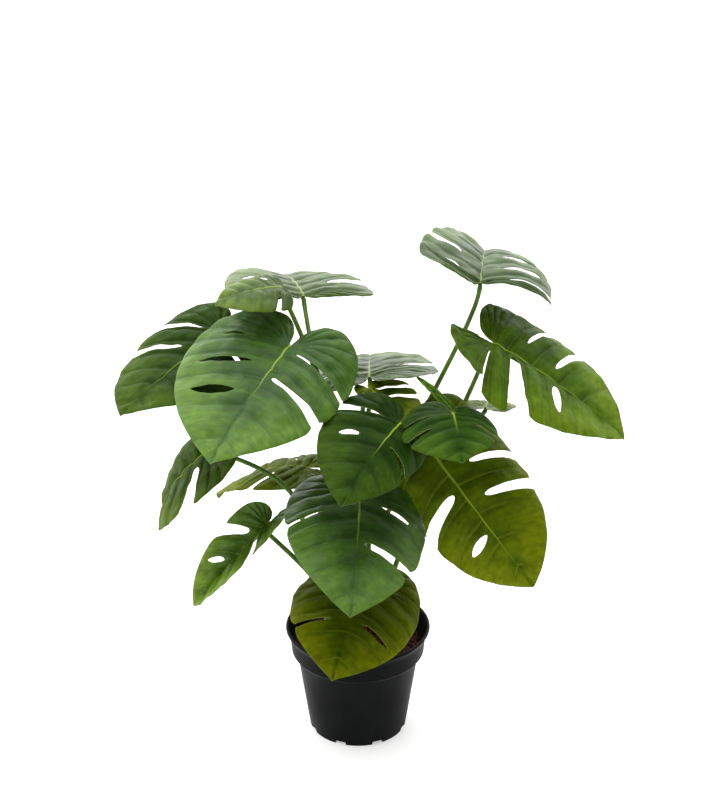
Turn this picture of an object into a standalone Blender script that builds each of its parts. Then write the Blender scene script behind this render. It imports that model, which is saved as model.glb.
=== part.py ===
"""Potted monstera: a black nursery pot, its soil, and eighteen leaves on stems.

Lengths are in millimetres until a mesh is made, which is in metres with Z up.
The front of the plant faces -Y and the pot stands on z = 0.
"""

import math

import bmesh
import bpy
from mathutils import Matrix, Vector
from mathutils.geometry import delaunay_2d_cdt

MM = 0.001

# Pot, from its rim down
RIM_RADIUS = 70.0
POT_HEIGHT = 110.0
LIP_DROP = 9.0
COLLAR_TOP_RADIUS = 66.5
COLLAR_FOOT_RADIUS = 61.5
COLLAR_FOOT_HEIGHT = 80.0
BODY_TOP_RADIUS = 59.0
BASE_RADIUS = 47.5
POT_WALL = 1.6
POT_SIDES = 48
FLOOR_HEIGHT = 6.0
FLOOR_THICK = 1.8
FOOT_WIDTH = 3.2
PAD_RADIUS = 16.0
NOTCH_COUNT = 8
NOTCH_WIDTH = 11.0
NOTCH_HEIGHT = 3.6
NOTCH_FIRST_DEG = -21.0
DRAIN_COUNT = 6
DRAIN_RADIUS = 3.5
DRAIN_CIRCLE = 31.0

# Soil
SOIL_HEIGHT = 90.0
SOIL_DOME = 9.0
SOIL_GRAIN = 1.1
SOIL_RINGS = (0.0, 0.14, 0.30, 0.46, 0.62, 0.78, 0.90)
SOIL_RIM_SHARE = 0.97
HOLE_DEPTH = 14.0

# Blades and stems
BLADE_THICK = 0.8
GAP = 0.3
STEM_FOOT_RADIUS = 2.6
STEM_TOP_RADIUS = 2.1
RIB_END_RADIUS = 0.7
RIB_SHARE = 0.52

# Margin of one half blade as (vein number, forward, sideways), in blade lengths.
# It runs from the notch at the stem, round the basal lobe, to the tip.
MARGIN = (
    (-1.00, -0.015, 0.006),
    (-0.86, -0.140, 0.035),
    (-0.70, -0.235, 0.115),
    (-0.52, -0.268, 0.245),
    (-0.35, -0.222, 0.378),
    (-0.18, -0.115, 0.478),
    (0.00, 0.025, 0.535),
    (0.15, 0.165, 0.555),
    (0.30, 0.310, 0.538),
    (0.45, 0.455, 0.500),
    (0.60, 0.600, 0.430),
    (0.74, 0.738, 0.330),
    (0.86, 0.855, 0.210),
    (0.94, 0.936, 0.102),
    (1.00, 1.000, 0.000),
)

# One row a leaf. base and tip are points in mm, and the other shape values are degrees:
# roll turns the blade about its chord, bend arches the midrib, fold lifts the left and
# right half from the midrib, arch lets them fall again, twist winds the blade. wide scales
# the width of the left and right half, heel the reach of their lobes behind the stem.
# A cut is (vein number, inner end, outer end, half width); an outer end of 1 is open.
# lift raises (+) or drops (-) each lobe between open cuts, in blade lengths.
# foot is where the stem stands in the soil. sway is how far the stem bows out in x and y,
# the share of its length at which it is farthest out, and how hard it turns up at its top.
LEAVES = (
    {
        "name": "01", "base": (112, 30, 453), "tip": (125, 172, 428),
        "roll": -1, "bend": 37, "fold": (35, 24), "arch": (46, 80), "twist": 10,
        "wide": (0.76, 0.96), "heel": (0.35, 0.2),
        "left": ((0.15, 0.35, 1, 0.045), (0.4, 0.4, 1, 0.045)),
        "right": ((0.08, 0.35, 1, 0.03), (0.3, 0.25, 0.85, 0.03), (0.52, 0.25, 0.8, 0.03)),
        "lift": ((0.09, 0.03, 0.02), (0.0, 0.0)), "foot": (-16, 29), "sway": (3, 36, 0.35, 0.3),
    },
    {
        "name": "02", "base": (125, 7, 402), "tip": (246, -15, 316),
        "roll": -8, "bend": 14, "fold": (17, 18), "arch": (42, 40), "twist": 3,
        "wide": (1.04, 0.92), "heel": (0.6, 1.1),
        "left": ((0.32, 0.3, 1, 0.025), (0.55, 0.22, 1, 0.03)),
        "right": ((0.0, 0.12, 1, 0.03), (0.3, 0.07, 1, 0.07), (0.58, 0.2, 0.72, 0.03)),
        "lift": ((0.0, 0.0, 0.0), (0.07, -0.04, 0.0)), "foot": (17, 4), "sway": (20, 50, 0.65, 0.3),
    },
    {
        "name": "03", "base": (67, -8, 303), "tip": (164, -60, 186),
        "roll": -55, "bend": 26, "fold": (10, 8), "arch": (95, 85), "twist": 6,
        "wide": (0.95, 0.84), "heel": (1.0, 1.0),
        "left": ((0.33, 0.28, 1, 0.035), (0.54, 0.22, 1, 0.035)),
        "right": ((0.04, 0.15, 0.5, 0.03), (0.46, 0.12, 1, 0.05), (0.72, 0.12, 0.62, 0.022)),
        "lift": ((-0.05, -0.05, 0.0), (-0.1, 0.0)), "foot": (-38, -10), "sway": (-2, 6, 0.5, 0.8),
    },
    {
        "name": "04", "base": (85, -68, 367), "tip": (91, -125, 347),
        "roll": 0, "bend": 29, "fold": (9, 4), "arch": (45, 25), "twist": 8,
        "wide": (1.25, 1.5), "heel": (1.0, 1.8),
        "left": ((0.45, 0.45, 1, 0.06),),
        "right": ((0.02, 0.3, 1, 0.05), (0.42, 0.45, 1, 0.05)),
        "lift": ((0.0, 0.0), (0.0, 0.0, 0.0)), "foot": (-3, 28), "sway": (-27, 8, 0.5, 0.8),
    },
    {
        "name": "05", "base": (38, -62, 354), "tip": (-14, -166, 326),
        "roll": 4, "bend": 20, "fold": (-14, 18), "arch": (85, 18), "twist": 6,
        "wide": (0.6, 0.9), "heel": (1.0, 1.0),
        "left": ((0.45, 0.18, 1, 0.03),),
        "right": ((0.08, 0.2, 1, 0.055), (0.43, 0.4, 0.72, 0.03)),
        "lift": ((0.0, 0.0), (0.0, 0.0)), "foot": (-3, 5), "sway": (-16, 14, 0.65, 0.5),
    },
    {
        "name": "06", "base": (2, -60, 281), "tip": (-6, -193, 233),
        "roll": 10, "bend": 31, "fold": (6, 6), "arch": (48, 39), "twist": -3,
        "wide": (0.86, 0.86), "heel": (1.0, 1.0),
        "left": ((0.22, 0.3, 0.74, 0.022), (0.61, 0.12, 1, 0.035)),
        "right": ((0.33, 0.5, 1, 0.012),),
        "lift": ((0.0, 0.0), (0.0, 0.0)), "foot": (5, -8), "sway": (8, 6, 0.35, 0.8),
    },
    {
        "name": "07", "base": (6, -33, 175), "tip": (-23, -146, 139),
        "roll": 4, "bend": 22, "fold": (6, 6), "arch": (50, 36), "twist": -14,
        "wide": (0.93, 0.95), "heel": (1.0, 1.0),
        "left": ((0.1, 0.4, 0.7, 0.015), (0.6, 0.2, 0.85, 0.02)),
        "right": ((0.6, 0.35, 1, 0.02),),
        "lift": ((), (0.0, 0.0)), "foot": (-12, -6), "sway": (0, 0, 0.65, 0.3),
    },
    {
        "name": "08", "base": (-62, -9, 406), "tip": (-127, -127, 347),
        "roll": 2, "bend": 12, "fold": (8, 14), "arch": (58, 24), "twist": 0,
        "wide": (0.92, 1.1), "heel": (1.0, 1.0),
        "left": ((0.19, 0.14, 1, 0.018), (0.46, 0.1, 1, 0.035)),
        "right": ((0.06, 0.5, 0.74, 0.025), (0.36, 0.24, 0.8, 0.022), (0.6, 0.26, 0.8, 0.03)),
        "lift": ((0.0, 0.0, 0.0), ()), "foot": (13, 33), "sway": (11, -9, 0.65, 0.15),
    },
    {
        "name": "09", "base": (-129, 51, 395), "tip": (-212, -57, 360),
        "roll": 5, "bend": 6, "fold": (6, 6), "arch": (40, 30), "twist": 14,
        "wide": (0.9, 0.9), "heel": (1.0, 1.0),
        "left": ((0.25, 0.3, 0.8, 0.02),),
        "right": ((0.1, 0.22, 1, 0.05), (0.4, 0.25, 1, 0.04)),
        "lift": ((), (0.0, 0.0, 0.0)), "foot": (22, 13), "sway": (43, 20, 0.5, 0.8),
    },
    {
        "name": "10", "base": (-50, 48, 433), "tip": (-79, 175, 403),
        "roll": 0, "bend": 24, "fold": (17, 16), "arch": (36, 33), "twist": 8,
        "wide": (0.95, 0.95), "heel": (0.3, 0.3),
        "left": ((0.15, 0.35, 1, 0.03), (0.45, 0.3, 0.8, 0.03)),
        "right": ((0.3, 0.4, 1, 0.03),),
        "lift": ((0.0, 0.02), (-0.03, 0.0)), "foot": (30, -11), "sway": (2, -52, 0.65, 0.3),
    },
    {
        "name": "11", "base": (-70, 28, 450), "tip": (-129, 5, 441),
        "roll": 12, "bend": 30, "fold": (10, 10), "arch": (40, 40), "twist": 0,
        "wide": (0.9, 0.8), "heel": (0.3, 0.3),
        "left": ((0.2, 0.3, 1, 0.04),),
        "right": ((0.25, 0.3, 0.8, 0.03),),
        "lift": ((0.0, 0.0), ()), "foot": (-5, 19), "sway": (15, -56, 0.65, 0.8),
    },
    {
        "name": "12", "base": (-136, -17, 305), "tip": (-186, 15, 212),
        "roll": 48, "bend": 50, "fold": (20, 10), "arch": (20, 50), "twist": 4,
        "wide": (0.9, 0.6), "heel": (1.0, 1.0),
        "left": ((0.26, 0.25, 1, 0.09),),
        "right": ((0.15, 0.3, 0.8, 0.02),),
        "lift": ((0.0, 0.0), ()), "foot": (-25, 8), "sway": (24, -10, 0.65, 0.8),
    },
    {
        "name": "13", "base": (-49, 33, 263), "tip": (-138, 76, 208),
        "roll": 0, "bend": 42, "fold": (10, 10), "arch": (32, 45), "twist": 6,
        "wide": (0.75, 0.75), "heel": (1.0, 1.0),
        "left": ((0.35, 0.35, 1, 0.03),),
        "right": ((0.3, 0.35, 0.8, 0.02),),
        "lift": ((0.0, 0.0), ()), "foot": (-23, -1), "sway": (0, 0, 0.5, 0.5),
    },
    {
        "name": "14", "base": (-84, -35, 238), "tip": (-156, -32, 148),
        "roll": 45, "bend": 10, "fold": (48, 48), "arch": (16, 10), "twist": -4,
        "wide": (0.5, 0.48), "heel": (1.0, 0.5),
        "left": ((0.24, 0.25, 1, 0.07),),
        "right": ((0.28, 0.28, 1, 0.08), (0.6, 0.3, 0.8, 0.03)),
        "lift": ((0.0, 0.0), (0.0, 0.0)), "foot": (-21, 34), "sway": (-27, 23, 0.65, 0.3),
    },
    {
        "name": "15", "base": (11, 24, 362), "tip": (12, 140, 334),
        "roll": 10, "bend": 8, "fold": (12, 12), "arch": (34, 35), "twist": 6,
        "wide": (1.0, 1.0), "heel": (1.0, 1.0),
        "left": ((0.25, 0.3, 1, 0.03),),
        "right": ((0.3, 0.3, 1, 0.03),),
        "lift": ((0.0, 0.0), (0.0, 0.02)), "foot": (-18, 12), "sway": (0, 1, 0.65, 0.3),
    },
    {
        "name": "16", "base": (10.6, 2, 359.5), "tip": (46, -32, 330),
        "roll": 0, "bend": 30, "fold": (-6, 10), "arch": (6, 40), "twist": 0,
        "wide": (1.7, 0.5), "heel": (0.7, 0.7),
        "left": ((0.16, 0.12, 1, 0.05), (0.42, 0.12, 1, 0.055)),
        "right": (),
        "lift": ((0.0, 0.0, 0.0), ()), "foot": (10, -1), "sway": (-1, -1, 0.5, 0.3),
    },
    {
        "name": "17", "base": (86, -28, 352), "tip": (53, 8, 371),
        "roll": 0, "bend": 14, "fold": (5, 5), "arch": (10, 10), "twist": 0,
        "wide": (0.18, 0.2), "heel": (1.0, 1.0),
        "left": (),
        "right": (),
        "lift": ((), ()), "foot": (29, 18), "sway": (-67, 34, 0.5, 0.3),
    },
    {
        "name": "18", "base": (124, 80, 305.5), "tip": (134, 146, 275.5),
        "roll": 0, "bend": 20, "fold": (6, 6), "arch": (14, 14), "twist": 0,
        "wide": (0.7, 0.7), "heel": (1.0, 1.0),
        "left": ((0.25, 0.3, 1, 0.03),),
        "right": ((0.3, 0.35, 0.8, 0.03),),
        "lift": ((0.0, 0.0), ()), "foot": (-28, 21), "sway": (-15, 9, 0.5, 0.15),
    },
)


def clear_scene():
    for obj in list(bpy.data.objects):
        bpy.data.objects.remove(obj, do_unlink=True)


def plain_material(name, colour, roughness):
    material = bpy.data.materials.new(name)
    material.use_nodes = True
    shader = material.node_tree.nodes["Principled BSDF"]
    shader.inputs["Base Color"].default_value = (*colour, 1.0)
    shader.inputs["Roughness"].default_value = roughness
    return material


def mesh_object(name, points, faces, material, home):
    mesh = bpy.data.meshes.new(name)
    mesh.from_pydata([tuple(c * MM for c in p) for p in points], [], faces)
    mesh.update()
    obj = bpy.data.objects.new(name, mesh)
    obj.data.materials.append(material)
    home.objects.link(obj)
    return obj


def cut_with(obj, cutter):
    cutter.hide_render = True
    cutter.display_type = "WIRE"
    modifier = obj.modifiers.new("cut " + cutter.name, "BOOLEAN")
    modifier.operation = "DIFFERENCE"
    modifier.solver = "EXACT"
    modifier.object = cutter


def turned(name, profile, material, home):
    """A profile of (radius, height), which runs down its outer side, turned about Z."""
    points = [(radius, 0.0, height) for radius, height in profile]
    obj = mesh_object(name, points, [], material, home)
    obj.data.edges.add(len(points) - 1)
    for i, edge in enumerate(obj.data.edges):
        edge.vertices = (i, i + 1)
    screw = obj.modifiers.new("turn", "SCREW")
    screw.steps = POT_SIDES
    screw.render_steps = POT_SIDES
    screw.use_merge_vertices = True
    screw.merge_threshold = 0.00005
    screw.use_smooth_shade = False
    return obj


def as_built(obj):
    """The object's mesh as its modifiers leave it, in place of them."""
    graph = bpy.context.evaluated_depsgraph_get()
    mesh = bpy.data.meshes.new_from_object(obj.evaluated_get(graph))
    obj.modifiers.clear()
    obj.data = mesh
    return mesh


def wall_radius(height):
    """Outer radius of the tapered body at a height."""
    share = height / COLLAR_FOOT_HEIGHT
    return BASE_RADIUS + (BODY_TOP_RADIUS - BASE_RADIUS) * share


def inner_radius(height):
    """Inner radius of the pot, which the soil follows."""
    if height < COLLAR_FOOT_HEIGHT:
        return wall_radius(height) - POT_WALL
    share = (height - COLLAR_FOOT_HEIGHT) / (POT_HEIGHT - COLLAR_FOOT_HEIGHT)
    low = BODY_TOP_RADIUS - POT_WALL
    return low + (RIM_RADIUS - 2.4 - low) * share ** 0.8


def box_cutter(name, middle, size, angle, home):
    """A box turned by an angle about the pot's own axis."""
    shape = bmesh.new()
    bmesh.ops.create_cube(shape, size=1.0)
    bmesh.ops.scale(shape, vec=[c * MM for c in size], verts=shape.verts)
    bmesh.ops.translate(shape, vec=[c * MM for c in middle], verts=shape.verts)
    turn = Matrix.Rotation(angle, 3, "Z")
    bmesh.ops.rotate(shape, cent=(0, 0, 0), matrix=turn, verts=shape.verts)
    return cutter_from(name, shape, home)


def drill(shape, x, y, radius, low, high, sides):
    """Adds an upright cylinder to a cutter."""
    place = Matrix.Translation((x * MM, y * MM, (low + high) / 2 * MM))
    bmesh.ops.create_cone(
        shape, cap_ends=True, segments=sides, radius1=radius * MM, radius2=radius * MM,
        depth=(high - low) * MM, matrix=place,
    )


def cutter_from(name, shape, home):
    mesh = bpy.data.meshes.new(name)
    shape.to_mesh(mesh)
    shape.free()
    obj = bpy.data.objects.new(name, mesh)
    home.objects.link(obj)
    return obj


def pot_profile():
    """From the middle of the floor up the inside, over the rim and down the outside."""
    inner_floor = wall_radius(FLOOR_HEIGHT) - POT_WALL
    outer = [
        (0.0, 0.0),
        (PAD_RADIUS, 0.0),
        (PAD_RADIUS + 2.0, FLOOR_HEIGHT - FLOOR_THICK),
        (BASE_RADIUS - FOOT_WIDTH - 0.8, FLOOR_HEIGHT - FLOOR_THICK),
        (BASE_RADIUS - FOOT_WIDTH, 0.0),
        (BASE_RADIUS - 0.8, 0.0),
        (BASE_RADIUS, 1.0),
        (wall_radius(45.0), 45.0),
        (BODY_TOP_RADIUS, COLLAR_FOOT_HEIGHT),
        (COLLAR_FOOT_RADIUS, COLLAR_FOOT_HEIGHT + 0.5),
        (COLLAR_FOOT_RADIUS + 3.0, COLLAR_FOOT_HEIGHT + 4.5),
        (COLLAR_TOP_RADIUS - 0.6, POT_HEIGHT - LIP_DROP - 2.0),
        (COLLAR_TOP_RADIUS, POT_HEIGHT - LIP_DROP + 1.5),
        (RIM_RADIUS - 0.7, POT_HEIGHT - 3.2),
        (RIM_RADIUS, POT_HEIGHT - 1.4),
        (RIM_RADIUS - 0.5, POT_HEIGHT - 0.3),
        (RIM_RADIUS - 1.4, POT_HEIGHT),
    ]
    inner = [
        (inner_radius(POT_HEIGHT), POT_HEIGHT - 0.8),
        (inner_radius(102.0), 102.0),
        (inner_radius(95.0), 95.0),
        (BODY_TOP_RADIUS - POT_WALL, COLLAR_FOOT_HEIGHT),
        (inner_floor, FLOOR_HEIGHT),
        (0.0, FLOOR_HEIGHT),
    ]
    return (outer + inner)[::-1]


def build_pot(home, cutters):
    black = plain_material("black_pot_plastic", (0.018, 0.019, 0.019), 0.45)
    pot = turned("pot", pot_profile(), black, home)
    for i in range(NOTCH_COUNT):
        angle = math.radians(NOTCH_FIRST_DEG + 360.0 * i / NOTCH_COUNT - 90.0)
        middle = (BASE_RADIUS - FOOT_WIDTH / 2, 0.0, 0.0)
        size = (FOOT_WIDTH + 8.0, NOTCH_WIDTH, 2 * NOTCH_HEIGHT)
        cut_with(pot, box_cutter("notch_%d" % (i + 1), middle, size, angle, cutters))
    drains = bmesh.new()
    for i in range(DRAIN_COUNT):
        angle = 2 * math.pi * (i + 0.25) / DRAIN_COUNT
        x = DRAIN_CIRCLE * math.cos(angle)
        y = DRAIN_CIRCLE * math.sin(angle)
        drill(drains, x, y, DRAIN_RADIUS, 2.0, 8.0, 12)
    cut_with(pot, cutter_from("drains", drains, cutters))


def grain(x, y):
    """Height of the crumbly soil at a place, from crossed waves."""
    waves = math.sin(0.61 * x + 1.3) * math.cos(0.53 * y)
    waves += 0.7 * math.sin(0.37 * x - 0.71 * y + 0.6)
    waves += 0.5 * math.cos(0.93 * y + 0.29 * x)
    return SOIL_GRAIN * waves / 1.6


def soil_top(x, y):
    share = min(1.0, math.hypot(x, y) / inner_radius(SOIL_HEIGHT))
    return SOIL_HEIGHT + SOIL_DOME * (1 - share * share)


def soil_profile():
    """From the top of the dome down its slope and the pot's wall to the floor."""
    edge = inner_radius(SOIL_HEIGHT) - GAP
    profile = [(edge * share, soil_top(edge * share, 0.0)) for share in SOIL_RINGS]
    profile.append((edge * SOIL_RIM_SHARE, soil_top(edge, 0.0)))
    profile.append((BODY_TOP_RADIUS - POT_WALL - GAP - 0.1, COLLAR_FOOT_HEIGHT - 1.0))
    profile.append((wall_radius(FLOOR_HEIGHT) - POT_WALL - GAP - 0.4, FLOOR_HEIGHT + GAP))
    profile.append((0.0, FLOOR_HEIGHT + GAP))
    return profile


def build_soil(home, cutters):
    brown = plain_material("crumbled_soil", (0.045, 0.020, 0.014), 0.95)
    soil = turned("soil", soil_profile(), brown, home)
    for corner in as_built(soil).vertices:
        if corner.co.z > (SOIL_HEIGHT - 2.0) * MM:
            corner.co.z += grain(corner.co.x / MM, corner.co.y / MM) * MM
    holes = bmesh.new()
    for leaf in LEAVES:
        x, y = leaf["foot"]
        low = soil_top(x, y) - HOLE_DEPTH
        drill(holes, x, y, STEM_FOOT_RADIUS + 0.45, low, low + 30.0, 8)
    cut_with(soil, cutter_from("stem_holes", holes, cutters))


def margin_point(vein):
    """The point of the margin at a vein number, by a smooth curve through MARGIN."""
    vein = min(max(vein, -1.0), 1.0)
    i = 0
    while i < len(MARGIN) - 2 and MARGIN[i + 1][0] < vein:
        i += 1
    first = MARGIN[i]
    second = MARGIN[i + 1]
    before = MARGIN[i - 1] if i > 0 else None
    after = MARGIN[i + 2] if i + 2 < len(MARGIN) else None
    if before is None:
        before = tuple(2 * a - b for a, b in zip(first, second))
    if after is None:
        after = tuple(2 * b - a for a, b in zip(first, second))
    span = second[0] - first[0]
    u = (vein - first[0]) / span
    found = []
    for k in (1, 2):
        slope_in = (second[k] - before[k]) / (second[0] - before[0]) * span
        slope_out = (after[k] - first[k]) / (after[0] - first[0]) * span
        value = (2 * u ** 3 - 3 * u ** 2 + 1) * first[k]
        value += (u ** 3 - 2 * u ** 2 + u) * slope_in
        value += (3 * u ** 2 - 2 * u ** 3) * second[k]
        value += (u ** 3 - u ** 2) * slope_out
        found.append(value)
    return found


def vein_start(vein):
    """Where a vein leaves the midrib; the lowest ones all leave at the stem."""
    if vein <= 0.11:
        return 0.0
    return 0.93 * ((vein - 0.11) / 0.89) ** 1.25


def vein_point(vein, share):
    """Flat place on a half blade, a share of the way from midrib to margin."""
    start = vein_start(vein)
    ahead, aside = margin_point(vein)
    bow = 0.20 * aside * share * (1 - share)
    return start + (ahead - start) * share - bow, aside * share


def half_outline(cuts, side, step):
    """Outline of one half from notch to tip as (x, y, vein, share, side)."""
    spots = []
    opened = sorted(cut for cut in cuts if cut[2] >= 1)
    spans = []
    last = -1.0
    for cut in opened:
        spans.append((last, cut[0] - cut[3]))
        last = cut[0] + cut[3]
    spans.append((last, 1.0))
    for i, (low, high) in enumerate(spans):
        count = max(2, round((high - low) / step))
        for k in range(count + 1):
            share = 1.0
            if i > 0 and k == 0:
                share = 0.955
            if i < len(opened) and k == count:
                share = 0.955
            spots.append((low + (high - low) * k / count, share))
        if i == len(opened):
            continue
        vein, inner, _outer, width = opened[i]
        way = [(-1, s) for s in (0.70, 0.35)] + [(0, 0.0)] + [(1, s) for s in (0.35, 0.70)]
        for sign, s in way:
            spread = width * (0.45 + 0.55 * s)
            spots.append((vein + sign * spread, inner + (1 - inner) * s))
    return [flat_point(vein, share, side) for vein, share in spots]


def flat_point(vein, share, side):
    x, y = vein_point(vein, share)
    return (x, side * y, vein, share, side)


def hole_outline(cut, side):
    """A closed cut as a loop that lies along its vein."""
    vein, inner, outer, width = cut
    spots = [(vein, inner)]
    for s in (0.3, 0.7):
        spots.append((vein - width, inner + (outer - inner) * s))
    spots.append((vein, outer))
    for s in (0.7, 0.3):
        spots.append((vein + width, inner + (outer - inner) * s))
    return [flat_point(v, share, side) for v, share in spots]


def inside(point, loop):
    x, y = point
    found = False
    for a, b in zip(loop, loop[1:] + loop[:1]):
        if (a[1] > y) != (b[1] > y):
            if x < (b[0] - a[0]) * (y - a[1]) / (b[1] - a[1]) + a[0]:
                found = not found
    return found


def near_cut(vein, share, cuts):
    for cut in cuts:
        if abs(vein - cut[0]) < cut[3] + 0.035 and cut[1] - 0.12 < share < cut[2] + 0.12:
            return True
    return False


def flat_blade(leaf, step=0.085, midrib_steps=11):
    """Flat triangles of a blade, each corner with its vein number, share and side."""
    left = half_outline(leaf["left"], 1, step)
    right = half_outline(leaf["right"], -1, step)
    rim = left + right[:-1][::-1]
    loops = [rim]
    for side, cuts in ((1, leaf["left"]), (-1, leaf["right"])):
        for cut in cuts:
            if cut[2] < 1:
                loops.append(hole_outline(cut, side))
    corners = []
    edges = []
    for loop in loops:
        first = len(corners)
        corners += loop
        for k in range(len(loop)):
            edges.append((first + k, first + (k + 1) % len(loop)))
    tip = len(left) - 1
    chain = []
    for k in range(midrib_steps):
        chain.append(len(corners))
        corners.append((k / midrib_steps, 0.0, 0.0, 0.0, 1))
    chain.append(tip)
    edges += list(zip(chain, chain[1:]))
    for side, cuts in ((1, leaf["left"]), (-1, leaf["right"])):
        for vein, shares in (
            (-0.75, (0.6,)), (-0.45, (0.4, 0.72)), (-0.15, (0.36, 0.7)), (0.12, (0.33, 0.68)),
            (0.30, (0.3, 0.66)), (0.46, (0.35, 0.68)), (0.62, (0.5,)), (0.78, (0.5,)),
        ):
            for share in shares:
                if not near_cut(vein, share, cuts):
                    corners.append(flat_point(vein, share, side))
    flat = [Vector((c[0], c[1])) for c in corners]
    found, _, faces, origin, _, _ = delaunay_2d_cdt(flat, edges, [], 0, 1e-6, True)
    corners = [corners[ids[0]] for ids in origin]
    outlines = [[(c[0], c[1]) for c in loop] for loop in loops]
    kept = []
    for face in faces:
        middle = sum((found[i] for i in face), Vector((0.0, 0.0))) / len(face)
        if not inside(middle, outlines[0]):
            continue
        if any(inside(middle, hole) for hole in outlines[1:]):
            continue
        kept.append(list(face))
    return corners, kept


class Blade:
    """Bends flat blade places into the leaf's form, in millimetres."""

    def __init__(self, leaf):
        self.leaf = leaf
        self.base = Vector(leaf["base"])
        chord = Vector(leaf["tip"]) - self.base
        self.ahead = chord.normalized()
        up = Vector((0, 0, 1)) - self.ahead * self.ahead.z
        up.normalize()
        roll = math.radians(leaf["roll"])
        self.normal = up * math.cos(roll) + up.cross(self.ahead) * math.sin(roll)
        self.aside = self.normal.cross(self.ahead)
        self.bend = math.radians(leaf["bend"])
        self.length = chord.length * self.bend / (2 * math.sin(self.bend / 2))

    def lobe_lift(self, side, vein, share, aside):
        index = 0 if side > 0 else 1
        values = self.leaf["lift"][index]
        if not values:
            return 0.0
        cuts = self.leaf["left"] if side > 0 else self.leaf["right"]
        lobe = sum(1 for cut in cuts if cut[2] >= 1 and vein > cut[0])
        rise = max(0.0, (share - 0.12) / 0.88) ** 1.6 * min(1.0, 4 * aside)
        return values[min(lobe, len(values) - 1)] * rise

    def point(self, x, y, vein, share, side):
        index = 0 if side > 0 else 1
        if x < 0:
            x *= self.leaf["heel"][index]
        fold = math.radians(self.leaf["fold"][index])
        arch = math.radians(self.leaf["arch"][index] or 0.01)
        slope = self.bend * (0.5 - x)
        along = (math.sin(self.bend / 2) - math.sin(slope)) / self.bend
        rise = (math.cos(slope) - math.cos(self.bend / 2)) / self.bend
        reach = 2 * abs(y) * self.leaf["wide"][index]
        out = 0.5 * (math.sin(fold) - math.sin(fold - arch * reach)) / arch
        lift = 0.5 * (math.cos(fold - arch * reach) - math.cos(fold)) / arch
        lift += self.lobe_lift(side, vein, share, abs(y))
        wind = math.radians(self.leaf["twist"]) * x
        out *= side
        # sideways and upward steps after the twist about the midrib
        over = out * math.sin(wind) + lift * math.cos(wind)
        over_side = out * math.cos(wind) - lift * math.sin(wind)
        ahead = along - over * math.sin(slope)
        high = rise + over * math.cos(slope)
        place = self.ahead * ahead + self.aside * over_side + self.normal * high
        return self.base + place * self.length

    def frame(self, x):
        """Midrib place, direction and upward normal at x."""
        place = self.point(x, 0.0, 0.0, 0.0, 1)
        slope = self.bend * (0.5 - x)
        wind = math.radians(self.leaf["twist"]) * x
        along = self.ahead * math.cos(slope) + self.normal * math.sin(slope)
        upward = self.normal * math.cos(slope) - self.ahead * math.sin(slope)
        upward = upward * math.cos(wind) - self.aside * math.sin(wind)
        return place, along, upward


def build_leaf(leaf, home):
    green = plain_material("leaf_green_" + leaf["name"], (0.035, 0.105, 0.022), 0.5)
    corners, faces = flat_blade(leaf)
    blade = Blade(leaf)
    points = [blade.point(*corner) for corner in corners]
    obj = mesh_object("leaf_" + leaf["name"], points, faces, green, home)
    thick = obj.modifiers.new("blade thickness", "SOLIDIFY")
    thick.thickness = BLADE_THICK * MM
    thick.offset = 0.0


def stem_path(leaf):
    """Centre points and radii of a stem, from its hole to the rib under the blade."""
    blade = Blade(leaf)
    x, y = leaf["foot"]
    ground = soil_top(x, y)
    path = [
        (Vector((x, y, ground - HOLE_DEPTH + 0.6)), STEM_FOOT_RADIUS),
        (Vector((x, y, ground + 3.0)), STEM_FOOT_RADIUS),
    ]
    place, along, upward = blade.frame(0.0)
    drop = BLADE_THICK / 2 + GAP + STEM_TOP_RADIUS
    end = place - upward * drop
    start = path[-1][0]
    reach = (end - start).length
    lean = (end - start).normalized() * 0.72 + Vector((0, 0, 0.28))
    arrive = along * 0.55 + upward * 0.85
    tangent_in = lean.normalized() * reach * 1.1
    aside_x, aside_y, widest, crook = leaf["sway"]
    tangent_out = arrive.normalized() * reach * crook
    sway = Vector((aside_x, aside_y, 0))
    power = math.log(0.5) / math.log(widest)
    steps = 7
    for k in range(1, steps + 1):
        u = k / steps
        spot = start * (2 * u ** 3 - 3 * u ** 2 + 1) + tangent_in * (u ** 3 - 2 * u ** 2 + u)
        spot += end * (3 * u ** 2 - 2 * u ** 3) + tangent_out * (u ** 3 - u ** 2)
        spot += sway * math.sin(math.pi * u ** power) ** 2
        radius = STEM_FOOT_RADIUS + (STEM_TOP_RADIUS - STEM_FOOT_RADIUS) * u
        path.append((spot, radius))
    ribs = 5
    for k in range(1, ribs + 1):
        share = RIB_SHARE * k / ribs
        radius = STEM_TOP_RADIUS + (RIB_END_RADIUS - STEM_TOP_RADIUS) * k / ribs
        place, along, upward = blade.frame(share)
        path.append((place - upward * (BLADE_THICK / 2 + GAP + radius), radius))
    return path


def build_stem(leaf, home):
    """A tapered tube: a curve whose points carry the stem's radius."""
    green = plain_material("stem_green_" + leaf["name"], (0.045, 0.115, 0.018), 0.5)
    path = stem_path(leaf)
    curve = bpy.data.curves.new("stem_" + leaf["name"], "CURVE")
    curve.dimensions = "3D"
    curve.bevel_depth = STEM_FOOT_RADIUS * MM
    curve.bevel_resolution = 1
    curve.use_fill_caps = True
    line = curve.splines.new("POLY")
    line.points.add(len(path) - 1)
    for point, (centre, radius) in zip(line.points, path):
        point.co = (*(centre * MM), 1.0)
        point.radius = radius / STEM_FOOT_RADIUS
    curve.materials.append(green)
    home.objects.link(bpy.data.objects.new(curve.name, curve))


def main():
    clear_scene()
    scene = bpy.context.scene
    scene.unit_settings.system = "METRIC"
    home = bpy.data.collections.new("potted_monstera")
    cutters = bpy.data.collections.new("cutters")
    scene.collection.children.link(home)
    scene.collection.children.link(cutters)
    build_pot(home, cutters)
    build_soil(home, cutters)
    for leaf in LEAVES:
        build_leaf(leaf, home)
        build_stem(leaf, home)


main()
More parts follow.
